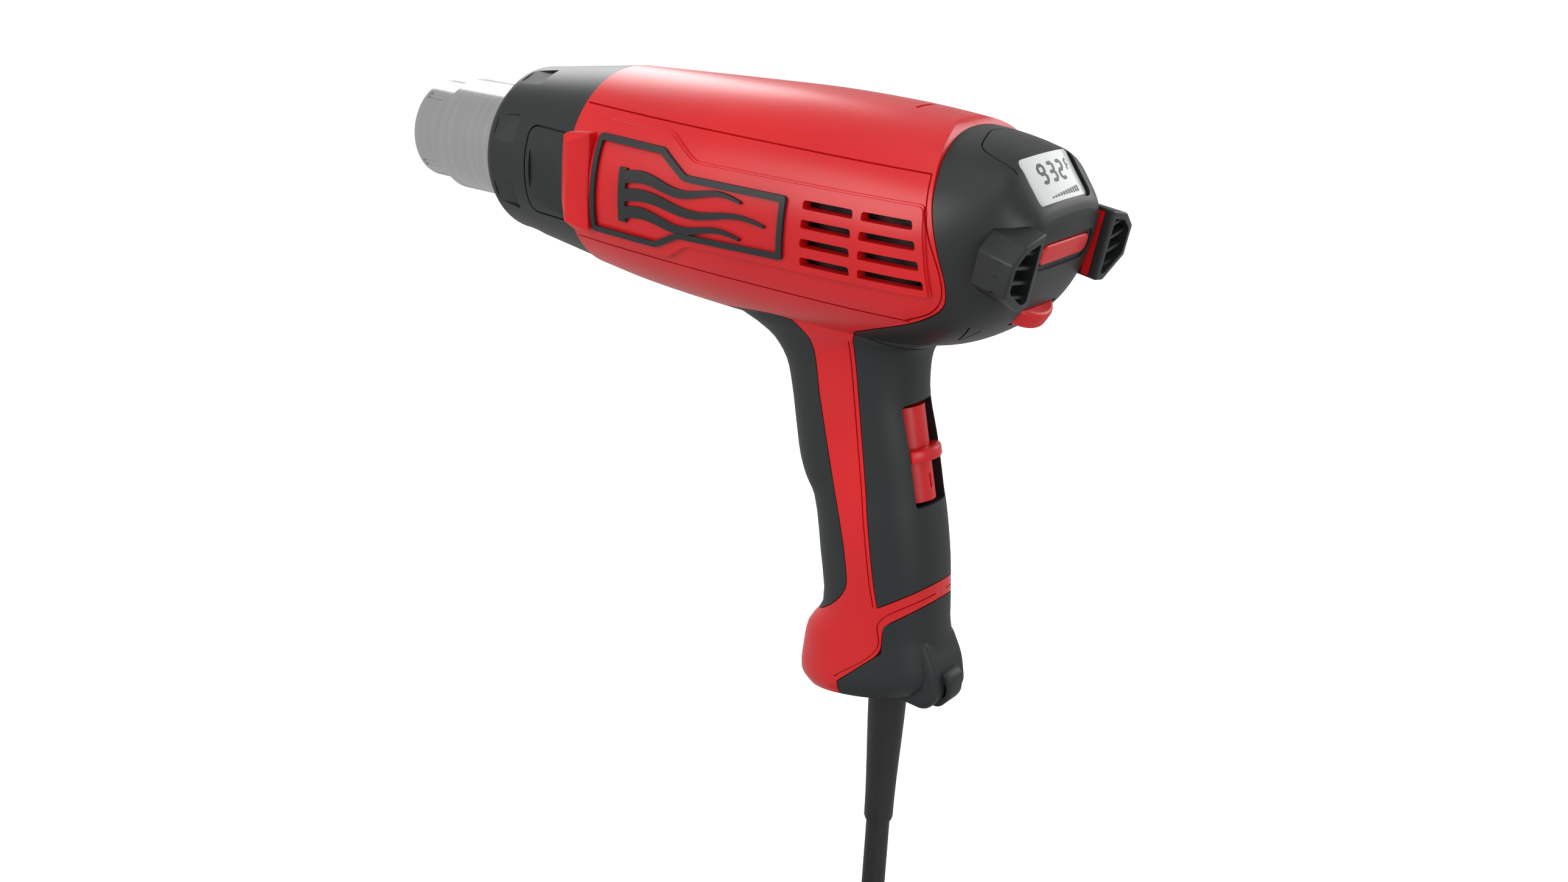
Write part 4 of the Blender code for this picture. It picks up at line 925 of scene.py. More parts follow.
def switchBlock(name, clearance, inner=-7.0, outer=20.0, edge=0.0):
    reach, half = switch["halfLength"] + clearance, switch["halfWidth"] + clearance
    places = ((reach, inner), (reach, outer), (-reach, outer), (-reach, inner))
    corners = [switchLine(*place) for place in places]
    return prism(name, corners, -half, half, edge=edge)


sleevePlace = {
    "x": 201.8,
    "top": -128.0,
    "neck": -153.0,
    "end": -205.0,
    "topRadius": 6.4,
    "endRadius": 4.9,
    "bore": 2.0,
    "flange": (8.2, 2.4),  # radius and thickness
}


def sleevePassage():
    x, top = sleevePlace["x"], sleevePlace["top"] - 1.0
    return rod("sleevePassage", (x, 0.0, top), (x, 0.0, ground), sleevePlace["topRadius"] + casing["gap"])


# Fine lines inside the band's rear edge and above the heel's seam, cut into the handle.
def bandGrooves():
    inside = [(x - 1.4, z) for x, z in redRear[redToGrip * 4 + 3 :]]
    above = [(x - 1.3, z + 1.3) for x, z in ((222.0, -115.2), stripeFoot, *endSeam[:2])]
    cuts = []
    for line in (inside, above):
        cut = handleSkin("bandGroove", 1.0, 15)
        carve(cut, handleSkin("bandGrooveInside", -grooves["fineDepth"], 15))
        strip = prism("bandStrip", ribbon(line, grooves["fine"]), 3.0, 60.0)
        cuts.append(carve(cut, strip, "INTERSECT"))
    return cuts


def redHalf():
    half = carve(copyOf(wholeBody, "redHalf"), redRegion(), "INTERSECT")
    carve(half, handleSkin("core", handleCore, 15, coarse=3), "UNION")
    carve(half, [raisedPanel(), frontLug()], "UNION")
    carve(half, copyOf(hollow, "hollowCut"))
    carve(half, ventCutters())
    carve(half, switchBlock("coreWindow", 3.0))
    carve(half, block("topSlot", (198.2, -5.0, 34.6), (199.4, 5.0, 40.0)))
    carve(half, block("collarSeat", (60.0, -60.0, -60.0), (87.4, 60.0, 60.0)))
    carve(half, sleevePassage())
    strips = [prism("strip", ribbon(line, grooves["width"]), 5.0, 60.0) for line in grooves["lines"]]
    fine = joined("grooveStrips", strips[:2])
    carve(fine, strips[2], "UNION")
    carve(half, shallow("sideGrooves", fine, grooves["depth"]))
    for cut in bandGrooves():
        carve(half, cut)
    return carve(half, block("leftSide", (60.0, -80.0, -220.0), (270.0, -0.08, 80.0)), "INTERSECT")


# Housing screws: x, z and how far out their heads sit
screws = (
    (117.0, 28.4, 12.5), (207.0, 26.0, 17.5), (124.0, -29.5, 13.5), (196.0, -97.0, 13.4),
    (190.0, -141.0, 14.2),
)


# Sunk seats for the housing screws, each in a tube of its own.
def screwSeats(half):
    for x, z, seat in screws:
        boss = rod("boss", (x, seat - 3.0, z), (x, 45.0, z), 4.6)
        carve(boss, copyOf(wholeBody, "bossLimit"), "INTERSECT")
        carve(half, boss, "UNION")
    wells = [rod("well", (x, seat, z), (x, 60.0, z), 3.2) for x, z, seat in screws]
    return carve(half, joined("wells", wells))


def makeHousing():
    left = redHalf()
    right = screwSeats(mirrored(left, "redRight"))
    finished(left, "housingShellLeft", redNylon, "housing_left")
    finished(right, "housingShellRight", redNylon, "housing_right")


makeHousing()
print("red shell made")

# Soft grips and the heel

eye = {
    "outline": [
        (218.0, -141.6), (224.6, -140.8), (227.2, -143.0), (227.0, -149.8), (223.4, -154.2),
        (218.0, -153.8),
    ],
    "hole": (224.4, -147.2),
    "holeSize": (1.5, 2.7),
    "halfThickness": 4.3,
    # The heel swells towards the eye.
    "swell": [
        (208.0, -130.0), (218.6, -130.0), (223.4, -139.0), (225.4, -149.0), (221.4, -154.0),
        (208.0, -153.0),
    ],
    "swellHalf": 10.0,
    "swellEdge": 6.5,
}


def makeGrips():
    inner = handleSkin("gripInner", -casing["gripThickness"], 15, casing["gap"], coarse=3)
    barrelRoom = barrelSkin("barrelRoom", -casing["wall"], 11, coarse=2)
    front = carve(copyOf(wholeBody, "front"), frontGripRegion(), "INTERSECT")
    rear = carve(copyOf(wholeBody, "rear"), rearGripRegion(), "INTERSECT")
    heel = carve(copyOf(wholeBody, "heel"), endRegion(), "INTERSECT")
    for piece in (front, rear):
        carve(piece, [inner, barrelRoom], keep=True)
    carve(rear, switchBlock("gripWindow", 0.4, edge=1.0))
    swell = prism("swell", roundCorners(eye["swell"], 3.0, 6), -eye["swellHalf"], eye["swellHalf"])
    remesh(swell, lambda bm: easeRims(bm, eye["swellEdge"], 6, 60))
    carve(swell, endRegion(), "INTERSECT")
    carve(heel, swell, "UNION")
    carve(heel, inner)
    carve(heel, sleevePassage())
    half = eye["halfThickness"]
    lug = prism("eye", roundCorners(eye["outline"], 2.0, 6), -half, half, edge=1.0, segments=3)
    carve(lug, handleSkin("eyeLimit", -casing["gripThickness"] + 0.8, 15, 0.5, coarse=3))
    x, z = eye["hole"]
    wide, tall = eye["holeSize"]
    hole = [(x + wide * math.cos(a), z + tall * math.sin(a)) for a in ringAngles(32)]
    carve(lug, prism("eyeHole", hole, -15.0, 15.0))
    carve(heel, lug, "UNION")
    finished(front, "gripPanelFront", softGripRubber, "grip_front")
    finished(rear, "gripPanelRear", softGripRubber, "grip_rear")
    finished(heel, "gripHeel", softGripRubber, "handle_end")
    bpy.data.objects.remove(barrelRoom)


makeGrips()
print("grips made")

# Rear cap

displaySettings = {
    "centre": Vector((244.1, 0.0, 22.0)),
    "normal": Vector((11.9, 0.0, 8.7)).normalized(),
    "size": (28.2, 14.7),
    "rimSize": (30.2, 16.6),
    "level": -0.4,
    "bow": 0.006,
    "digits": "932",
    "digitSize": (2.9, 5.3),
    "digitPlaces": (-5.9, -0.6, 4.7),
    "digitHeight": 1.5,
    "stroke": 1.15,
    "unitPlace": (9.7, 2.5),
    "unitSize": (1.3, 3.4),
    "degreePlace": (7.6, 4.2),
    "bars": 11,
    "barStart": -6.2,
    "barSpacing": 1.55,
    "barWidth": 0.95,
    "barBase": -6.0,
    "barHeights": (0.45, 0.15),  # the first bar and the rise to the next
    "degreeRadius": 0.75,
    "inkThickness": 0.08,
}
buttonSettings = {
    "centre": Vector((248.3, 0.0, 1.4)),
    "normal": Vector((0.97, 0.0, -0.25)).normalized(),
    "size": (28.0, 6.2),
    "proud": 0.9,
    "depth": 6.0,
}
wheelSettings = {
    "radius": 12.5,
    "thickness": 6.0,
    "centre": Vector((233.9, 0.0, -14.8)),
    "axis": Vector((0.527, 0.0, 0.85)).normalized(),
    "ridges": 60,
    "post": 2.2,
}
bumperSettings = {
    "outline": [(20.6, -11.9), (20.6, 10.2), (31.0, 8.0), (36.8, 3.4), (36.8, -6.5), (26.0, -12.8)],
    "lean": math.radians(10.0),
    "centre": Vector((251.9, 0.0, 0.0)),
    "depth": 13.0,
    "rim": 2.2,
    "pocket": 5.0,
    "ribs": 5,
    "ribThickness": 1.2,
    "ribStart": -10.0,
    "ribSpacing": 4.4,
    "ribSlant": 2.6,
    "ribTop": -1.4,
    "ribReach": (21.0, 36.5),
    "taper": 2.5,
    "taperFrom": 25.0,
    "rimEase": 0.7,
}
bumperNormal = Vector((math.cos(bumperSettings["lean"]), 0.0, -math.sin(bumperSettings["lean"])))


# A frame whose z is the normal and whose x runs across the gun.
def facing(centre, normal, across=(0.0, 1.0, 0.0)):
    third = Vector(normal).normalized()
    first = Vector(across)
    turn = Matrix((first, third.cross(first), third)).transposed().to_4x4()
    return Matrix.Translation(centre) @ turn


displayPlace = facing(displaySettings["centre"], displaySettings["normal"])
buttonPlace = facing(buttonSettings["centre"], buttonSettings["normal"])
bumperPlace = facing(bumperSettings["centre"], bumperNormal)


def bumperOutline(side, margin=0.0):
    return insetOutline([(side * y, z) for y, z in bumperSettings["outline"]], margin)


def wheelSlot():
    reach = wheelSettings["axis"] * (wheelSettings["thickness"] / 2 + 0.5)
    centre = wheelSettings["centre"]
    return rod("wheelSlot", centre - reach, centre + reach, wheelSettings["radius"] + 0.5, sides=96)


# A prism along the bumpers' own line, drawn in towards its front.
def frustum(name, outline, low, high):
    made = prism(name, outline, low, high, fromAbove)
    taper = bumperSettings["taper"]

    def draw(bm):
        for vert in bm.verts:
            if vert.co.z < (low + high) / 2 and abs(vert.co.x) > bumperSettings["taperFrom"]:
                vert.co.x -= math.copysign(taper, vert.co.x)
        easeRims(bm, bumperSettings["rimEase"], 3, 20)

    remesh(made, draw)
    made.data.transform(bumperPlace)
    return made


# The edge of the display panel, seen from above, and down the back beside it.
def capGrooves():
    half = [(224.7, 8.0), (227.7, 15.0), (234.0, 17.2), (241.0, 17.6)]
    line = [(x, -y) for x, y in reversed(half)] + [(222.6, 0.0)] + half
    strip = prism("panelEdge", ribbon(line, grooves["fine"]), 0.0, 60.0, fromAbove)
    return shallow("capGrooves", strip, capSink + grooves["fineDepth"])


# A chevron cut under the cap beside the temperature wheel.
def capChevron():
    strips = []
    for line in (((234.5, -18.6), (226.6, -17.5)), ((226.6, -17.5), (233.0, -22.8))):
        strips.append(prism("chevronStrip", ribbon(line, 0.5), -60.0, -5.0, fromAbove))
    return shallow("capChevron", carve(*strips, "UNION"), grooves["fineDepth"])


# A slab over the display's outline, bowed across the gun as the display is.
def bowedSlab(name, outline, low, high):
    bm = bmesh.new()
    bmesh.ops.create_grid(bm, x_segments=24, y_segments=1, size=0.5)
    bmesh.ops.scale(bm, verts=bm.verts, vec=(40.0, 30.0, 1.0))
    bmesh.ops.translate(bm, verts=bm.verts, vec=(0.0, 0.0, low))
    pushed = bmesh.ops.extrude_face_region(bm, geom=bm.faces[:])["geom"]
    top = [item for item in pushed if isinstance(item, bmesh.types.BMVert)]
    bmesh.ops.translate(bm, verts=top, vec=(0.0, 0.0, high - low))
    for vert in bm.verts:
        vert.co.z -= displaySettings["bow"] * vert.co.x**2
    bmesh.ops.recalc_face_normals(bm, faces=bm.faces)
    slab = toObject(name, bm)
    carve(slab, prism(name + "Outline", outline, low - 10.0, high + 10.0, fromAbove), "INTERSECT")
    slab.data.transform(displayPlace)
    return slab


def makeCap():
    cap = carve(copyOf(sunkBody, "cap"), capRegion(), "INTERSECT")
    carve(cap, copyOf(hollow, "capHollow"))
    carve(cap, handleSkin("capHandle", -casing["gripThickness"], coarse=3))
    rim = roundedRectangle(*displaySettings["rimSize"], 2.4)
    lens = roundedRectangle(*[size + 0.3 for size in displaySettings["size"]], 1.6)
    level = displaySettings["level"]
    carve(cap, capChevron())
    carve(cap, bowedSlab("displaySeat", rim, level + 0.12, 6.0))
    carve(cap, bowedSlab("displayPocket", lens, level - 1.7, 6.0))
    sight = roundedRectangle(*[size - 3.0 for size in displaySettings["size"]], 1.6)
    carve(cap, prism("displaySight", sight, -9.0, -1.6, displayPlace))
    well = roundedRectangle(*[size + 0.6 for size in buttonSettings["size"]], 2.4)
    carve(cap, prism("buttonPocket", well, -12.0, 5.0, buttonPlace))
    dish = roundedRectangle(*[size + 3.4 for size in buttonSettings["size"]], 3.6)
    carve(cap, prism("buttonDish", dish, 0.1, 5.0, buttonPlace))
    carve(cap, wheelSlot())
    for side in (-1, 1):
        seat = frustum("seat", bumperOutline(side, -0.12), -bumperSettings["depth"] - 0.1, 5.0)
        carve(cap, seat)
    carve(cap, capGrooves())
    finished(cap, "capShell", blackNylon, "rear_cap")


makeCap()
print("cap made")

# Display: a bowed window with seven-stroke digits and a rising bar row

digitStrokes = {
    "top": (0.0, 1.0, True),
    "middle": (0.0, 0.0, True),
    "bottom": (0.0, -1.0, True),
    "upperLeft": (-1.0, 0.5, False),
    "upperRight": (1.0, 0.5, False),
    "lowerLeft": (-1.0, -0.5, False),
    "lowerRight": (1.0, -0.5, False),
}
digitShapes = {
    "9": ("top", "middle", "bottom", "upperLeft", "upperRight", "lowerRight"),
    "3": ("top", "middle", "bottom", "upperRight", "lowerRight"),
    "2": ("top", "middle", "bottom", "upperRight", "lowerLeft"),
    "F": ("top", "middle", "upperLeft", "lowerLeft"),
}


# One pointed stroke of a digit, as a hexagon drawn out along its length.
def addStroke(bm, centre, length, width, upright):
    made = bmesh.ops.create_circle(bm, cap_ends=True, segments=6, radius=1.0)["verts"]
    for vert in made:
        x, y = vert.co.x, vert.co.y
        across, along = (x, y) if abs(y) > 0.99 else (x / 0.866, y * 2 * (1 - width / length))
        across, along = across * width / 2, along * length / 2
        vert.co = (across, along, 0.0) if upright else (along, across, 0.0)
        vert.co.x += centre[0]
        vert.co.y += centre[1]


def addDigit(bm, shape, centre, size, width):
    halfWide, halfTall = size[0] / 2, size[1] / 2
    for stroke in digitShapes[shape]:
        x, y, level = digitStrokes[stroke]
        place = (centre[0] + x * halfWide, centre[1] + y * halfTall)
        length = size[0] * 0.96 if level else halfTall * 0.94
        addStroke(bm, place, length, width, not level)


def makeDisplay():
    d = displaySettings
    outline = roundedRectangle(*d["size"], 1.4)
    pane = bowedSlab("pane", outline, d["level"] - 1.5, d["level"])
    finished(pane, "displayPane", displayLayer, "display_window")
    bm = bmesh.new()
    for shape, place in zip(d["digits"], d["digitPlaces"]):
        addDigit(bm, shape, (place, d["digitHeight"]), d["digitSize"], d["stroke"])
    addDigit(bm, "F", d["unitPlace"], d["unitSize"], 0.75)
    degree = bmesh.ops.create_circle(bm, cap_ends=True, segments=20, radius=d["degreeRadius"])["verts"]
    bmesh.ops.translate(bm, verts=degree, vec=(*d["degreePlace"], 0.0))
    faces = [face for face in bm.faces if all(vert in degree for vert in face.verts)]
    bmesh.ops.inset_region(bm, faces=faces, thickness=0.4)
    bmesh.ops.delete(bm, geom=faces, context="FACES")
    for bar in range(d["bars"]):
        height = d["barHeights"][0] + d["barHeights"][1] * bar
        made = bmesh.ops.create_grid(bm, x_segments=1, y_segments=1, size=0.5)["verts"]
        bmesh.ops.scale(bm, verts=made, vec=(d["barWidth"], height, 1.0))
        place = (d["barStart"] + d["barSpacing"] * bar, height / 2 + d["barBase"], 0.0)
        bmesh.ops.translate(bm, verts=made, vec=place)
    pushed = bmesh.ops.extrude_face_region(bm, geom=bm.faces[:])["geom"]
    raised = [item for item in pushed if isinstance(item, bmesh.types.BMVert)]
    bmesh.ops.translate(bm, verts=raised, vec=(0.0, 0.0, d["inkThickness"]))
    for vert in bm.verts:
        vert.co.z -= d["bow"] * vert.co.x**2 - d["level"] + 0.02
    bmesh.ops.recalc_face_normals(bm, faces=bm.faces)
    bm.transform(displayPlace)
    finished(toObject("digits", bm), "displayStrokes", displayInk)


makeDisplay()

# Button and thumbwheel


def makeButton():
    outline = roundedRectangle(*buttonSettings["size"], 2.4)
    depth, proud = buttonSettings["depth"], buttonSettings["proud"]
    button = prism("button", outline, -depth, proud, buttonPlace, edge=0.8, segments=4)
    finished(button, "modeKey", redNylon, "mode_button", "mode_key")


def makeWheel():
    radius, half = wheelSettings["radius"], wheelSettings["thickness"] / 2
    bore = wheelSettings["post"] + 0.3
    profile = [(-half, radius - 1.5)]
    for step in range(1, 6):
        angle = math.radians(90 * step / 6)
        profile.append((-half + 1.5 * (1 - math.cos(angle)), radius - 1.5 + 1.5 * math.sin(angle)))
    profile += [(-half + 1.6, radius), (half - 1.6, radius)]
    profile += [(-behind, r) for behind, r in profile[5:0:-1]]
    profile += [(half, radius - 1.5), (half, bore), (-half, bore)]
    wheel = turned("wheel", profile, wheelSettings["centre"], wheelSettings["axis"], steps=120)
    cuts = []
    for i in range(wheelSettings["ridges"]):
        turn = Matrix.Rotation(2 * math.pi * i / wheelSettings["ridges"], 4, "Z")
        cut = rod("ridge", (radius + 0.25, 0.0, -5.0), (radius + 0.25, 0.0, 5.0), 0.42, sides=8)
        cut.data.transform(turn)
        cuts.append(cut)
    knurl = joined("knurl", cuts)
    turn = wheelSettings["axis"].to_track_quat("Z", "Y").to_matrix().to_4x4()
    knurl.data.transform(Matrix.Translation(wheelSettings["centre"]) @ turn)
    carve(wheel, knurl)
    finished(wheel, "dialWheel", redNylon, "thumbwheel", "temperature_wheel")


makeButton()
makeWheel()
print("controls made")

# Bumpers: ribbed rubber feet with a red inlay on the inner wall


def stripeBlock(side, margin):
    inner = bumperSettings["outline"][0][0]
    near, far = side * (inner - 0.1 - margin * 4), side * (inner + 0.9 + margin)
    low, high = -11.3 - margin, 9.0 + margin
    outline = [(near, low), (far, low), (far, high), (near, high)]
    return prism("stripe", outline, -5.3 - margin, -2.9 + margin, bumperPlace)


def makeBumpers():
    rim, depth = bumperSettings["rim"], bumperSettings["depth"]
    for side, label in ((-1, "Left"), (1, "Right")):
        foot = frustum("foot", bumperOutline(side), -depth, 0.0)
        pocket = roundCorners(bumperOutline(side, rim), 1.2)
        carve(foot, prism("pocket", pocket, -bumperSettings["pocket"], 2.0, bumperPlace))
        slats = []
        for i in range(bumperSettings["ribs"]):
            low = bumperSettings["ribStart"] + bumperSettings["ribSpacing"] * i
            high = low + bumperSettings["ribSlant"]
            thick = bumperSettings["ribThickness"]
            near, far = (side * reach for reach in bumperSettings["ribReach"])
            outline = [(near, low), (far, high), (far, high + thick), (near, low + thick)]
            bottom = -bumperSettings["pocket"] - 1.0
            slats.append(prism("slat", outline, bottom, bumperSettings["ribTop"], bumperPlace, edge=0.25))
        ribs = joined("ribs", slats)
        carve(ribs, prism("ribLimit", bumperOutline(side, 0.6), -12.0, 1.0, bumperPlace), "INTERSECT")
        carve(foot, ribs, "UNION")
        carve(foot, stripeBlock(side, 0.15))
        low = label.lower()
        finished(foot, f"foot{label}", blackNylon, f"bumper_{low}")
        stripe = stripeBlock(side, 0.0)
        finished(stripe, f"footStripe{label}", redNylon, f"bumper_stripe_{low}")


makeBumpers()
print("bumpers made")

# Slide switch


def makeSwitch():
    reach, radius = switch["halfLength"] - 0.8, switch["trackRadius"]
    foot, head = switchLine(-reach, -radius), switchLine(reach, -radius)
    track = rod("track", (foot[0], 0.0, foot[1]), (head[0], 0.0, head[1]), radius, sides=96)
    x, z = switchLine(switch["markPlace"])
    mark = block("mark", *switch["markSize"])
    mark.data.transform(Matrix.Translation((x, 0.0, z)) @ Matrix.Rotation(-switch["lean"], 4, "Y"))
    carve(track, mark)
    finished(track, "switchBarrel", redNylon, "switch_track")
    half, outer = switch["tabHeight"] / 2, switch["tabRadius"]
    base = switchLine(0.0, -radius)
    axis = (-math.sin(switch["lean"]), 0.0, math.cos(switch["lean"]))
    inner = radius + 0.3
    profile = [(-half, outer - 0.7), (-half + 0.25, outer - 0.25), (-half + 0.8, outer), (half - 0.8, outer)]
    profile += [(half - 0.25, outer - 0.25), (half, outer - 0.7), (half, inner), (-half, inner)]
    tab = turned("tab", profile, (base[0], 0.0, base[1]), axis)
    near, far = switch["tabCut"] - radius, 30.0
    corners = [switchLine(*place) for place in ((12.0, near), (12.0, far), (-12.0, far), (-12.0, near))]
    carve(tab, prism("tabLimit", corners, -switch["halfWidth"], switch["halfWidth"]), "INTERSECT")
    finished(tab, "switchTab", redNylon, "switch_slider", "power_slider")


makeSwitch()
print("switch made")

# Nozzle and collar

nozzle = {
    "radius": 17.0,
    "tube": 19.4,
    "wall": 0.9,
    "shoulder": 12.4,
    "end": 62.0,
    "fluteAngles": [quarter * 90.0 + offset for quarter in range(4) for offset in (35.0, 41.0)],
}
collar = {
    "front": 43.5,
    "rear": 87.1,
    "frontRadius": 27.2,
    "rearRadius": 33.1,
    "nose": 21.6,
    "wall": 2.8,
    "pockets": 8,
    "pocketPlace": 54.5,
    "pocketTurn": 22.5,
    "pocketOutline": [(-5.6, -4.2), (5.0, -5.2), (5.0, 5.2), (-5.6, 4.2)],
    "pocketDepth": 0.9,
    "pocketSlope": math.radians(-1.0),
    "recess": [(68.0, -12.6), (98.0, -12.6), (98.0, 11.8), (68.0, 11.8)],
    "ledge": [(65.6, -15.2), (98.0, -15.2), (98.0, 14.2), (65.6, 14.2)],
}


# A profile that eases from one radius to another between two stations.
def easedStep(start, end, first, last, steps=8):
    shares = [step / steps for step in range(1, steps + 1)]
    return [(start + (end - start) * t, first + (last - first) * t * t * (3 - 2 * t)) for t in shares]


def makeNozzle():
    small, large, wall = nozzle["radius"], nozzle["tube"], nozzle["wall"]
    shoulder, end = nozzle["shoulder"], nozzle["end"]
    profile = [(0.0, small - 0.35), (0.25, small - 0.08), (0.6, small), (shoulder - 0.6, small)]
    profile += easedStep(shoulder - 0.6, shoulder + 2.6, small, large)
    profile += [(end - 1.2, large), (end - 1.2, large + 3.0), (end, large + 3.0), (end, large - wall)]
    profile += [(shoulder + 2.2, large - wall), (shoulder, small - wall)]
    profile += [(0.3, small - wall), (0.0, small - wall + 0.2)]
    tube = turned("tube", profile, steps=144)
    # Four pairs of pressed flutes grip the heater's front ring.
    flutes = []
    for angle in nozzle["fluteAngles"]:
        flute = rod("flute", (1.6, 0.0, small + 0.45), (9.4, 0.0, small + 0.45), 1.0, sides=16)
        flute.data.transform(Matrix.Rotation(math.radians(angle), 4, "X"))
        flutes.append(flute)
    carve(tube, joined("flutes", flutes))
    finished(tube, "nozzleShell", nozzleSteel, "nozzle_tube")


def collarRadius(x):
    share = (x - collar["front"]) / (collar["rear"] - collar["front"])
    return collar["frontRadius"] + (collar["rearRadius"] - collar["frontRadius"]) * share


def makeCollar():
    bore, wall, front = nozzle["tube"] + 0.3, collar["wall"], collar["front"]
    end = nozzle["end"]
    profile = [(front + 1.2, bore), (front + 0.3, bore + 0.3), (front, bore + 1.2), (front, collar["nose"])]
    steps = 12
    for step in range(1, steps + 1):
        angle = math.radians(90.0 * step / steps)
        reach = collarRadius(front + 5.5) - collar["nose"]
        profile.append((front + 5.5 * (1 - math.cos(angle)), collar["nose"] + reach * math.sin(angle)))
    rear = collar["rear"]
    profile += [(rear - 0.4, collarRadius(rear) - 0.02), (rear, collarRadius(rear) - 0.4)]
    profile += [(rear, collar["rearRadius"] - wall), (end + 2.0, 30.2 - wall), (end + 2.0, bore + 4.0)]
    profile += [(end - 1.5, bore + 4.0), (end - 1.5, bore)]
    shell = turned("collar", profile, steps=144)
    slope = Matrix.Rotation(collar["pocketSlope"], 4, "Y")
    place = collar["pocketPlace"]
    middle = Matrix.Translation((place, 0.0, collarRadius(place) - collar["pocketDepth"]))
    pocket = roundCorners(collar["pocketOutline"], 1.2)
    for number in range(collar["pockets"]):
        angle = math.radians(collar["pocketTurn"] + 360.0 / collar["pockets"] * number)
        turn = Matrix.Rotation(angle, 4, "X")
        carve(shell, prism("pocket", pocket, 0.0, 4.0, turn @ middle @ slope))
    for side in (-1, 1):
        outline = roundCorners(collar["recess"], 3.5, 6)
        low, high = sorted((side * 29.8, side * 40.0))
        carve(shell, prism("recess", outline, -high, -low))
        ledge = roundCorners(collar["ledge"], 4.5, 6)
        border = prism("border", ledge, -40.0, 40.0)
        carve(border, prism("borderRoom", insetOutline(ledge, 0.6), -50.0, 50.0))
        ring = turned("borderDepth", [(50.0, 36.0), (90.0, 36.0), (90.0, 32.75), (50.0, 27.35)], steps=96)
        carve(ring, border, "INTERSECT")
        near, far = sorted((0.0, side * 60.0))
        carve(ring, block("borderSide", (40.0, near, -40.0), (100.0, far, 40.0)), "INTERSECT")
        carve(shell, ring)
    finished(shell, "noseShell", blackNylon, "nose_collar")


makeNozzle()
makeCollar()
print("nozzle and collar made")

# Badge frames and air marks

badge = {
    "outline": [
        (101.7, 17.2), (129.1, 16.8), (139.6, 10.3), (177.6, 10.2), (177.1, -8.9), (137.6, -9.7),
        (127.6, -14.5), (99.8, -14.2),
    ],
    "bar": 1.9,
    "lift": 1.55,
    "proud": 1.1,
    "streaks": (5.6, 0.0, -5.6),
    "streakLength": 56.0,
    "streakThickness": 3.6,
    "streakStart": 114.5,
    "streakWave": 1.2,
    "barOutline": [(113.0, 8.5), (116.0, 8.5), (116.0, -8.5), (113.0, -8.5)],
    "rootDepth": 0.6,
}


# A flat mark in side view, raised off the panel and rooted in it.
def raisedMark(name, shape):
    mark = barrelSkin(name, badge["lift"] + badge["proud"])
    carve(mark, shape, "INTERSECT")
    return carve(mark, barrelSkin(name + "Inside", badge["lift"] - badge["rootDepth"]))


# One rising wave of warm air, which thins towards its tip.
def streakOutline(level):
    length, half = badge["streakLength"] - abs(level) * 1.6, badge["streakThickness"] / 2
    upper, lower = [], []
    for i in range(37):
        share = i / 36
        x = badge["streakStart"] + share * length
        z = level + badge["streakWave"] * math.sin(share * 3 * math.pi)
        thick = half * (1.15 - share) ** 0.8
        upper.append((x, z + thick))
        lower.append((x, z - thick))
    return upper + lower[::-1]


def makeSideTrim():
    outer = roundCorners(badge["outline"], 1.2)
    inner = roundCorners(insetOutline(badge["outline"], badge["bar"]), 0.8)
    rim = carve(prism("badgeShape", outer, 5.0, 70.0), prism("badgeCut", inner, 0.0, 75.0))
    frameMark = raisedMark("badge", rim)
    shape = prism("emblemBar", badge["barOutline"], 5.0, 70.0)
    carve(shape, [prism("streak", streakOutline(level), 5.0, 70.0) for level in badge["streaks"]], "UNION")
    emblem = raisedMark("emblem", shape)
    for mark, label, node in ((frameMark, "badgeRim", "badge_frame"), (emblem, "airMark", "badge_emblem")):
        right = mirrored(mark, label + "Copy")
        finished(mark, label + "Left", blackNylon, node + "_left")
        finished(right, label + "Right", blackNylon, node + "_right")


makeSideTrim()
print("side trim made")

# Sleeve


def makeSleeve():
    s = sleevePlace
    length = s["top"] - s["end"]
    neck = s["top"] - s["neck"]
    flange, thick = s["flange"]
    profile = [(0.0, flange), (thick, flange), (thick, s["topRadius"]), (neck, s["topRadius"])]
    profile += easedStep(neck, length - 1.4, s["topRadius"], s["endRadius"])
    profile += [(length - 0.4, s["endRadius"] - 0.35), (length, s["endRadius"] - 0.95)]
    profile += [(length, s["bore"]), (0.0, s["bore"])]
    sleeve = turned("sleeve", profile, (s["x"], 0.0, s["top"]), (0.0, 0.0, 1.0), steps=64)
    finished(sleeve, "cordSleeve", cordSheath, "strain_relief")
    return sleeve


cordSleeve = makeSleeve()

# Finishes of the parts that keep their own mesh

keptFinishes = (
    (platedSteel, [f"housing_screw_{number}" for number in range(1, 6)]),
    (platedSteel, ["motor_body", "motor_shaft", "dial_post", "thermal_cutout"]),
    (mica, ["heater_tube", "heater_core"]),
    (heaterWire, ["heating_coil"]),
    (blackNylon, ["fan_shroud", "motor_mount", "coil_tie", "lead_wire_neutral"]),
    (whiteNylon, ["fan_impeller", "terminal_block", "cord_clamp", "switch_body"]),
    (boardFinish, ["control_board"]),
    (dustScreen, ["vent_screen_left", "vent_screen_right"]),
    (cordSheath, ["plug_body"]),
    (plugBrass, ["plug_blade_1", "plug_blade_2"]),
    (redNylon, ["lead_wire_live"]),
)
for finish, names in keptFinishes:
    for name in names:
        for slot in nodes[name].material_slots:
            slot.material = finish
print("kept parts finished")

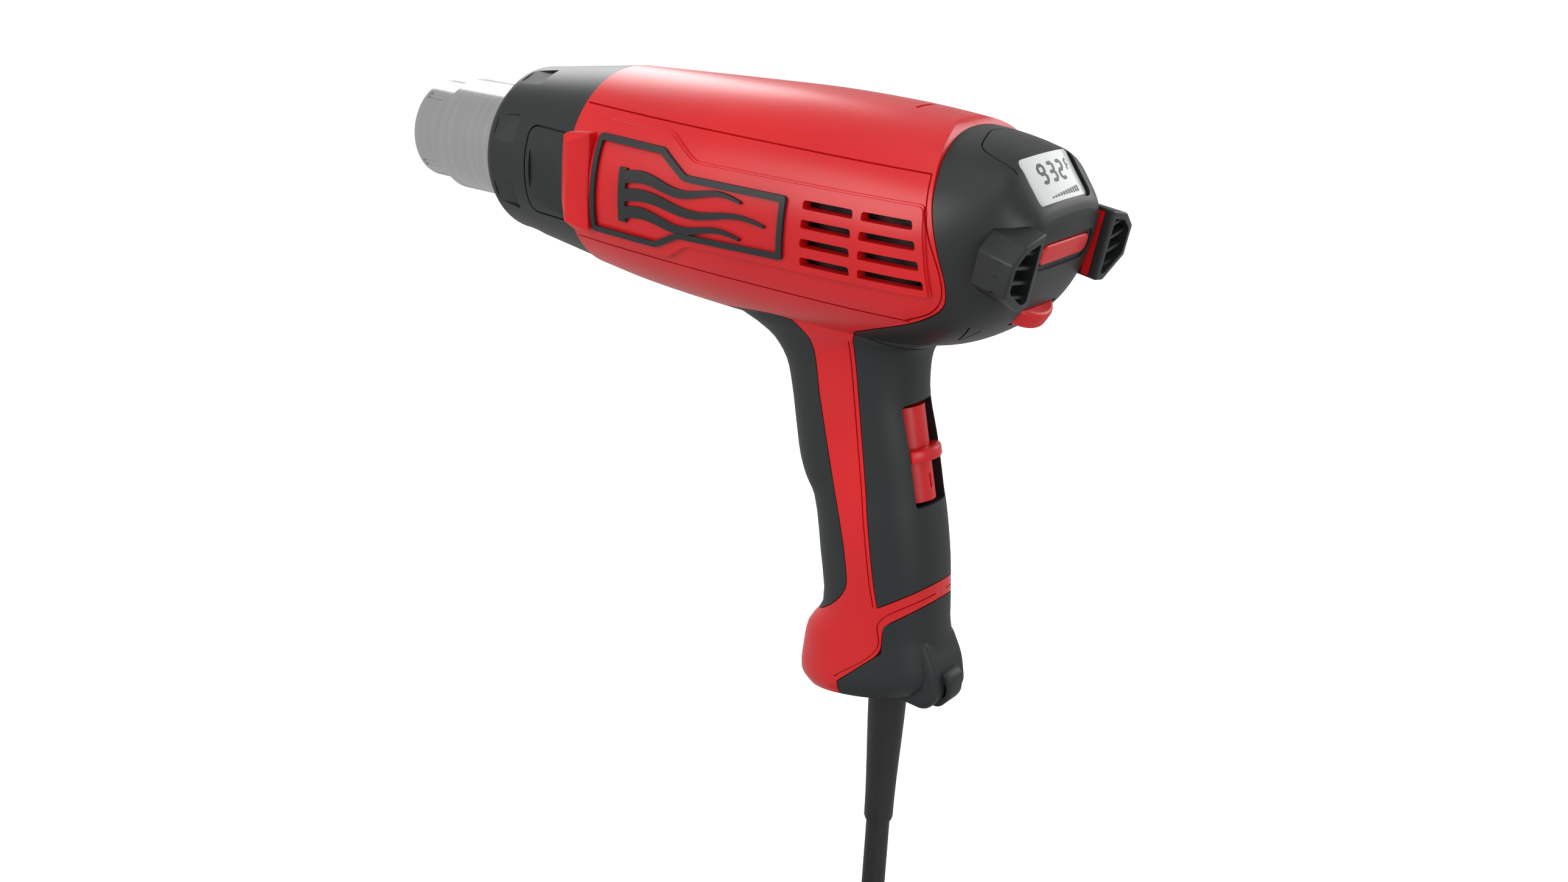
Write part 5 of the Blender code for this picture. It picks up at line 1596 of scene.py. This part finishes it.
for spare in (wholeBody, sunkBody, hollow):
    bpy.data.objects.remove(spare)

# Studio

studio = {
    "floorRadius": 30.0,
    "floorHeight": -0.2121,
    "floorGlow": 0.75,
    "worldStrength": 0.5,
    # place, size, power
    "lamps": (
        ("overhead", (0.1, -0.4, 1.3), 1.2, 3.0),
        ("left", (-0.5, -1.3, 0.6), 0.9, 9.0),
        ("rear", (1.1, -0.5, 0.3), 0.5, 3.0),
        ("front", (-1.0, 0.7, 0.6), 0.6, 5.0),
        ("right", (0.5, 1.2, 0.6), 0.7, 5.0),
    ),
}


def makeStudio():
    bm = bmesh.new()
    bmesh.ops.create_circle(bm, cap_ends=True, segments=64, radius=studio["floorRadius"])
    bmesh.ops.translate(bm, verts=bm.verts, vec=(0.0, 0.0, studio["floorHeight"]))
    floor = toObject("studioFloor", bm)
    paper, tree, shader, place = newMaterial("whitePaperFloor", "f4f4f4", 0.9)
    fibre = addNode(tree, "ShaderNodeTexNoise", {"Vector": place, "Scale": perMetre(4.0)})
    bumpInputs = {"Height": fibre.outputs["Fac"], "Strength": 0.02, "Distance": 0.1 * mm}
    bump = addNode(tree, "ShaderNodeBump", bumpInputs)
    glow = {"Emission Color": hexColour("ffffff"), "Emission Strength": studio["floorGlow"]}
    feed(tree, shader, {"Normal": bump.outputs["Normal"], **glow})
    floor.data.materials.append(paper)
    # The lit floor shows white and throws nothing back on the gun.
    floor.visible_diffuse = False
    floor.visible_glossy = False
    floor.visible_shadow = False
    for name, place, size, power in studio["lamps"]:
        lamp = bpy.data.lights.new(name, "AREA")
        lamp.energy = power
        lamp.size = size
        holder = bpy.data.objects.new(name, lamp)
        holder.location = place
        holder.rotation_euler = Vector(place).to_track_quat("Z", "Y").to_euler()
        bpy.context.scene.collection.objects.link(holder)
    world = bpy.data.worlds.new("softRoom")
    world.use_nodes = True
    light = {"Color": hexColour("ffffff"), "Strength": studio["worldStrength"]}
    feed(world.node_tree, world.node_tree.nodes["Background"], light)
    bpy.context.scene.world = world


makeStudio()
print("studio lit")
